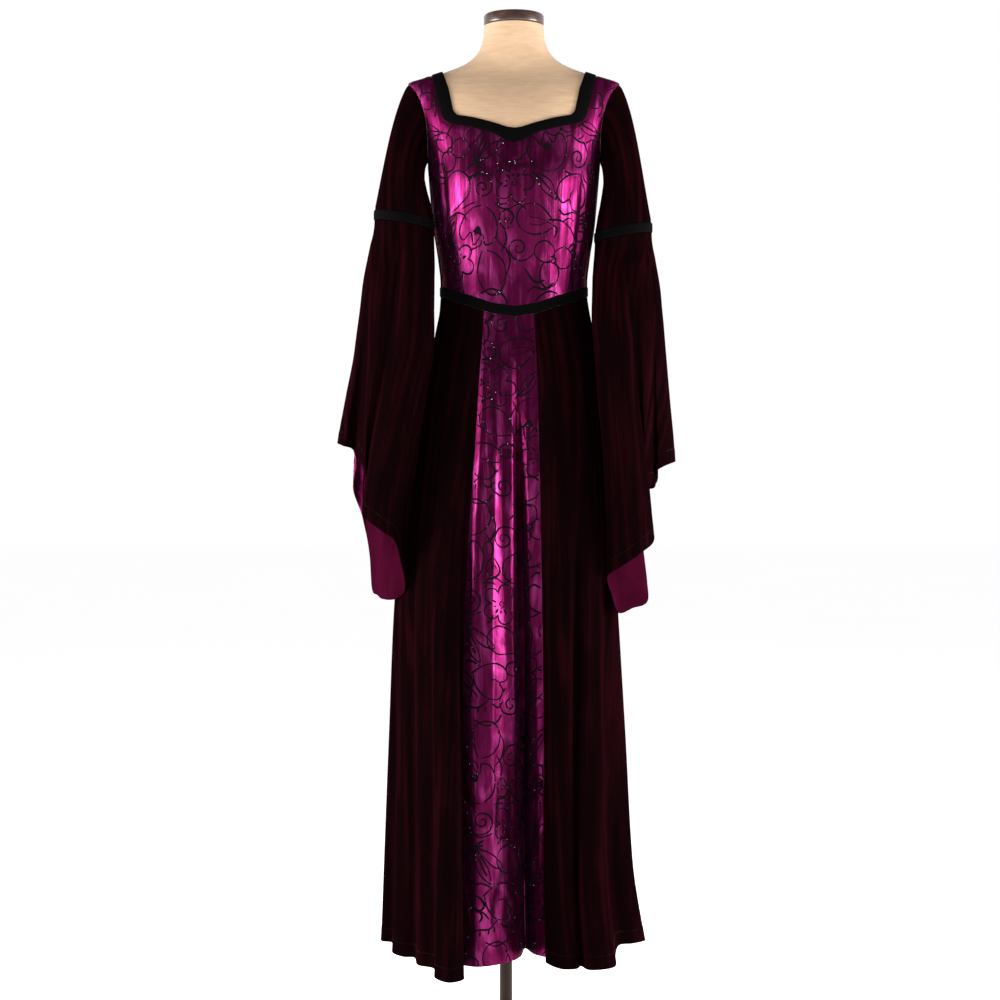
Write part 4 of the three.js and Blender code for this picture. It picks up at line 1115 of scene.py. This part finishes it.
def bodice_cloth(first, last):
    """The fitted shell between two angles, from the waist band up to the shoulders."""
    angles = np.arange(first, last + 0.1, 1.5)
    low_rows = np.linspace(0, 1, 8)[:-1]
    heights = np.concatenate([low_rows, np.arange(LEVEL_FROM, 1560, 3.0), np.arange(1560, 1600, 1.6)])

    def surface(angle, level):
        base = waist_line(angle) + WAIST_BAND / 2
        low = base + (LEVEL_FROM - base) * level
        return body_surface(angle, np.where(level < 2, low, level))

    return Cloth(surface, angles, heights, centre=int(np.argmin(np.abs(angles - (first + last) / 2))))


def make_bodice():
    for node, face, first, last, sign in BODICE_PARTS:
        cloth = bodice_cloth(first, last)
        height = np.where(cloth.v < 2, LEVEL_FROM + 22 * (cloth.v - 1), cloth.v)
        cloth.raise_by(crease_relief(BODICE_CREASES[node], cloth.u, height))
        seam_y = np.interp(cloth.base[..., 2], SIDE_SEAM["z"], SIDE_SEAM["y"])
        seam = sign * (cloth.base[..., 1] - seam_y) + SEAM_HALF_GAP
        holes = np.maximum(neck_distance(cloth.base, "outer"), armhole_distance(cloth.base))
        cloth.edge = np.maximum(seam, holes)
        cloth.raise_by(seam_dip(-cloth.edge, 0.9))
        cut_panel(node, [face, "reverse"], cloth, cloth.edge)


def crowned(inside, round_edge):
    """A band's rise over the cloth, round towards its edges and flat in the middle."""
    share = np.clip(inside / round_edge, 0, 1)
    return BAND_RAISE - BAND_SINK + BAND_CROWN * (1 - (1 - share) ** 2)


def make_neck_trim():
    cloth = bodice_cloth(-180, 180)
    distance = np.maximum(neck_distance(cloth.base, "inner"), -neck_distance(cloth.base, "outer"))
    cloth.raise_by(crowned(-distance, NECK_ROUND_EDGE))
    cloth.outer[-1] = cloth.outer[0]
    cut_panel("neck_trim", ["braid"] * 2, cloth, distance, WALL + BAND_RAISE)


def make_band(node, surface, step, width, facing=1):
    cloth = Cloth(surface, np.arange(0, 360, step), np.linspace(0.005, 0.995, 15), facing)
    cloth.raise_by(crowned(np.minimum(cloth.flat_y, cloth.from_hem), width / 4.4))
    panel(node, ["braid"] * 2, cloth, closed=True)


def make_bands():
    def waist(angle, share):
        return body_surface(angle, waist_line(angle) + WAIST_BAND * (share - 0.5))

    make_band("waist_trim", waist, 2.0, WAIST_BAND)
    for name, arm in ARMS.items():
        def band(angle, share):
            return band_points(arm, angle, BAND_WIDTH * (share - 0.5))

        make_band(f"sleeve_band_{name}", band, 3.0, BAND_WIDTH, -arm["side"])


def make_upper_sleeves():
    for name, arm in ARMS.items():
        def surface(angle, share):
            return upper_sleeve_surface(arm, angle, share)

        cloth = Cloth(surface, np.arange(0, 360, 2.5), np.linspace(0, 0.998, 80), arm["side"])
        near = np.minimum(cloth.flat_y, cloth.from_hem)
        relief = crease_relief(UPPER_SLEEVE_CREASES, cloth.u, cloth.v) * np.clip(near / SLEEVE_SETTLE, 0, 1)
        cloth.raise_by(relief + seam_dip(near, 1.0))
        panel(f"upper_sleeve_{name}", ["velvet", "reverse"], cloth, closed=True)


def make_lower_sleeves():
    shares = np.concatenate([np.linspace(0.002, 0.3, 36), np.linspace(0.3, 1, 70)[1:]])
    for name, arm in ARMS.items():
        bell, gusset = f"lower_sleeve_{name}", f"sleeve_gusset_{name}"
        count = len(arm["folds"]["x"])
        parts = [(bell, ["velvet", "reverse"], np.linspace(0, count, count * BELL_COLUMNS + 1)[:-1])]
        if arm["gusset"]:
            first, last = arm["gusset"]
            steps = (count - (last - first)) * BELL_COLUMNS
            around = np.linspace(last - count + SLEEVE_INSET, first - SLEEVE_INSET, steps)
            between = np.linspace(first + SLEEVE_INSET, last - SLEEVE_INSET, 22)
            parts = [(bell, ["velvet", "reverse"], around), (gusset, ["panne", "panne"], between)]
        for node, kinds, places in parts:
            closed = len(parts) == 1
            cloth = Cloth(lower_sleeve_surface(arm), places, shares, arm["side"])
            cloth.raise_by(turned_hem(cloth) + (0 if closed else seam_dip(-cloth.edge, 1.1)))
            panel(node, kinds, cloth, closed)


def make_skirt():
    shares = np.concatenate([np.linspace(0.0003, 0.16, 30), np.linspace(0.16, 1, 96)[1:]])
    for node, face, first, last in SKIRT_PANELS:
        columns = (last - first) * SKIRT_COLUMNS + 1
        cloth = Cloth(skirt_surface, np.linspace(first + SEAM_INSET, last - SEAM_INSET, columns), shares, -1)
        relief = crease_relief(SKIRT_CREASES, cloth.u, cloth.v) * np.clip(cloth.flat_y / SKIRT_SETTLE, 0, 1)
        cloth.raise_by(relief + turned_hem(cloth) + seam_dip(-cloth.edge, 1.1))
        # The line pattern stops at the lips of a deep fold
        cloth.edge = np.where(relief < -DEEP_FOLD, 1.0, cloth.edge)
        panel(node, [face, "reverse"], cloth)


def make_pattern():
    front = lay_lines("lines_bodice", CLOTHS["bodice_front"], (-128, 14))
    centre = lay_lines("lines_skirt", CLOTHS["skirt_centre_panel"], (-150, -40))
    for name, side in (("outside", 1), ("inside", -1)):
        lay_lines(f"lines_gusset_{name}", CLOTHS["sleeve_gusset_left"], (-60, 20), side)
    scatter_glitter("glitter_bodice", *front, 170, seed=4)
    scatter_glitter("glitter_skirt", *centre, 260, seed=9)


# Stand

def turned(name, kind, replaces, profile, segments=96, x=0):
    """A solid of revolution about an upright line at x, from its half outline."""
    turn = np.linspace(0, 2 * np.pi, segments, endpoint=False)
    radius, height = np.array(profile[1:-1], float).T[..., None]
    rings = points(x + radius * np.cos(turn), radius * np.sin(turn), height)
    vertices = rings.reshape(-1, 3).tolist() + [(x, 0, profile[0][1]), (x, 0, profile[-1][1])]
    low, high, last = len(vertices) - 2, len(vertices) - 1, (len(rings) - 1) * segments
    faces = []
    for k in range(segments):
        n = (k + 1) % segments
        faces += [(j + k, j + n, j + segments + n, j + segments + k) for j in range(0, last, segments)]
        faces += [(low, n, k), (high, last + k, last + n)]
    make_piece(name, [kind], vertices, faces, [replaces], sharp=35)


def rounded(radius, low, high, edge, steps=5):
    """Half outline of a disc with a rounded top and bottom edge."""
    turn = np.linspace(0, np.pi / 2, steps)
    bottom = [(radius - edge + edge * math.sin(a), low + edge - edge * math.cos(a)) for a in turn]
    top = [(radius - edge + edge * math.cos(a), high - edge + edge * math.sin(a)) for a in turn]
    return [(0, low)] + bottom + top + [(0, high)]


def make_stand():
    cap = rounded(CAP_RADIUS, NECK_TOP + REST_GAP, CAP_TOP, 4)
    turned("wood_neck_cap", "wood", "neck_cap", cap, x=BODY_X)
    low, high = BASE_HEIGHT + REST_GAP, FORM_BOTTOM - REST_GAP
    pole = [(0, low), (POLE_RADIUS, low), (POLE_RADIUS, high), (0, high)]
    turned("metal_pole", "metal", "stand_pole", pole, segments=48)
    dome = [(BASE_RADIUS - 6 - r, 9 + 5 * math.sin(math.pi / 2 * r / 143)) for r in np.linspace(0, 143, 12)]
    lip = [(0, 0), (BASE_RADIUS - 1, 0), (BASE_RADIUS, 1), (BASE_RADIUS, 5), (BASE_RADIUS - 1.5, 7.2)]
    turned("metal_base", "metal", "stand_base", lip + dome + [(0, BASE_HEIGHT)])


def make_form():
    """The linen form, a smooth closed skin just inside the dress."""
    angles = np.arange(-180, 180, 3.0)
    spans = [985, 988, 992], np.arange(1000, 1540, 12), np.arange(1540, NECK_TOP, 4), [NECK_TOP]
    cloth = Cloth(body_surface, angles, np.concatenate(spans))
    cloth.raise_by(-FORM_INSET)
    cloth.outer[:, 0, 2] = FORM_BOTTOM
    cloth.outer[:, -1, 2] = NECK_TOP
    columns, rows = cloth.u.shape
    vertices = cloth.outer.reshape(-1, 3).tolist() + [(BODY_X, 0, FORM_BOTTOM), (BODY_X, 0, NECK_TOP)]
    faces = cloth.faces(closed=True).tolist()
    for i in range(columns):
        a, b = i * rows, (i + 1) % columns * rows
        faces += [(columns * rows, b, a), (columns * rows + 1, a + rows - 1, b + rows - 1)]
    flat = np.pad(cloth.flat_places(), ((0, 2), (0, 0)))
    make_piece("linen_form", ["linen"], vertices, faces, ["form_torso"], sharp=60, flat=flat)


# Studio

def make_camera():
    data = bpy.data.cameras.new("camera")
    data.lens, data.sensor_width = LENS, SENSOR
    place = [side * MM for side in CAMERA_PLACE]
    bpy.context.scene.camera = place_object("camera", data, place, (math.pi / 2, 0, 0))


def softbox(name, place, aim_height, size, power, shines):
    """A soft light aimed at a height on the figure's axis; without shines it isn't mirrored."""
    data = bpy.data.lights.new(name, "AREA")
    data.shape = "RECTANGLE"
    data.size, data.size_y = size
    data.energy = power
    x, y, up = place[0], place[1], place[2] - aim_height
    turn = (math.pi / 2 - math.atan2(up, math.hypot(x, y)), 0, math.atan2(x, -y))
    light = place_object(name, data, place, turn)
    light.visible_camera = False
    light.visible_glossy = shines


def make_floor():
    n = material_nodes("pale_floor")
    cloud = n.noise((0.6, 0.6, 0.6))
    n.shade(Base_Color=n.ramp(cloud, [(0.3, (0.90, 0.90, 0.91)), (0.7, (0.93, 0.93, 0.94))]))
    n.shade(Roughness=0.95, Specular_IOR_Level=0.05, Emission_Color=(1, 1, 1, 1), Emission_Strength=0.70)
    corners = [(x * FLOOR_REACH, y * FLOOR_REACH, 0) for x, y in ((-1, -1), (1, -1), (1, 1), (-1, 1))]
    floor = make_mesh("floor", corners, [(0, 1, 2, 3)], [n.owner])


def make_world():
    """White light, darker in front and above than behind, which is what the shiny panne mirrors."""
    world = bpy.data.worlds.new("studio")
    n = Nodes(world, "Background")
    way = n.add("ShaderNodeSeparateXYZ", Vector=n.add("ShaderNodeTexCoord").outputs["Generated"]).outputs
    behind = n.sum(way["Y"], way["Z"], -1.2)
    smooth = {"interpolation_type": "SMOOTHSTEP"}
    span = {"From_Min": -0.35, "From_Max": 0.35, "To_Min": 0.2, "To_Max": 1}
    level = n.add("ShaderNodeMapRange", smooth, Value=behind, **span)
    n.shade(Color=(1, 1, 1, 1), Strength=level.outputs["Result"])
    scene = bpy.context.scene
    scene.world = world
    scene.view_settings.view_transform = "Standard"
    scene.view_settings.look = "None"


make_camera()
make_stand()
make_form()
make_bodice()
make_neck_trim()
make_bands()
make_upper_sleeves()
make_lower_sleeves()
make_skirt()
make_pattern()
stitches("stitches_sleeve_hems", ["lower_sleeve_left", "sleeve_gusset_left", "lower_sleeve_right"])
stitches("stitches_skirt_hem", [node for node, *_ in SKIRT_PANELS])
make_floor()
make_world()
for light in SOFTBOXES:
    softbox(*light)
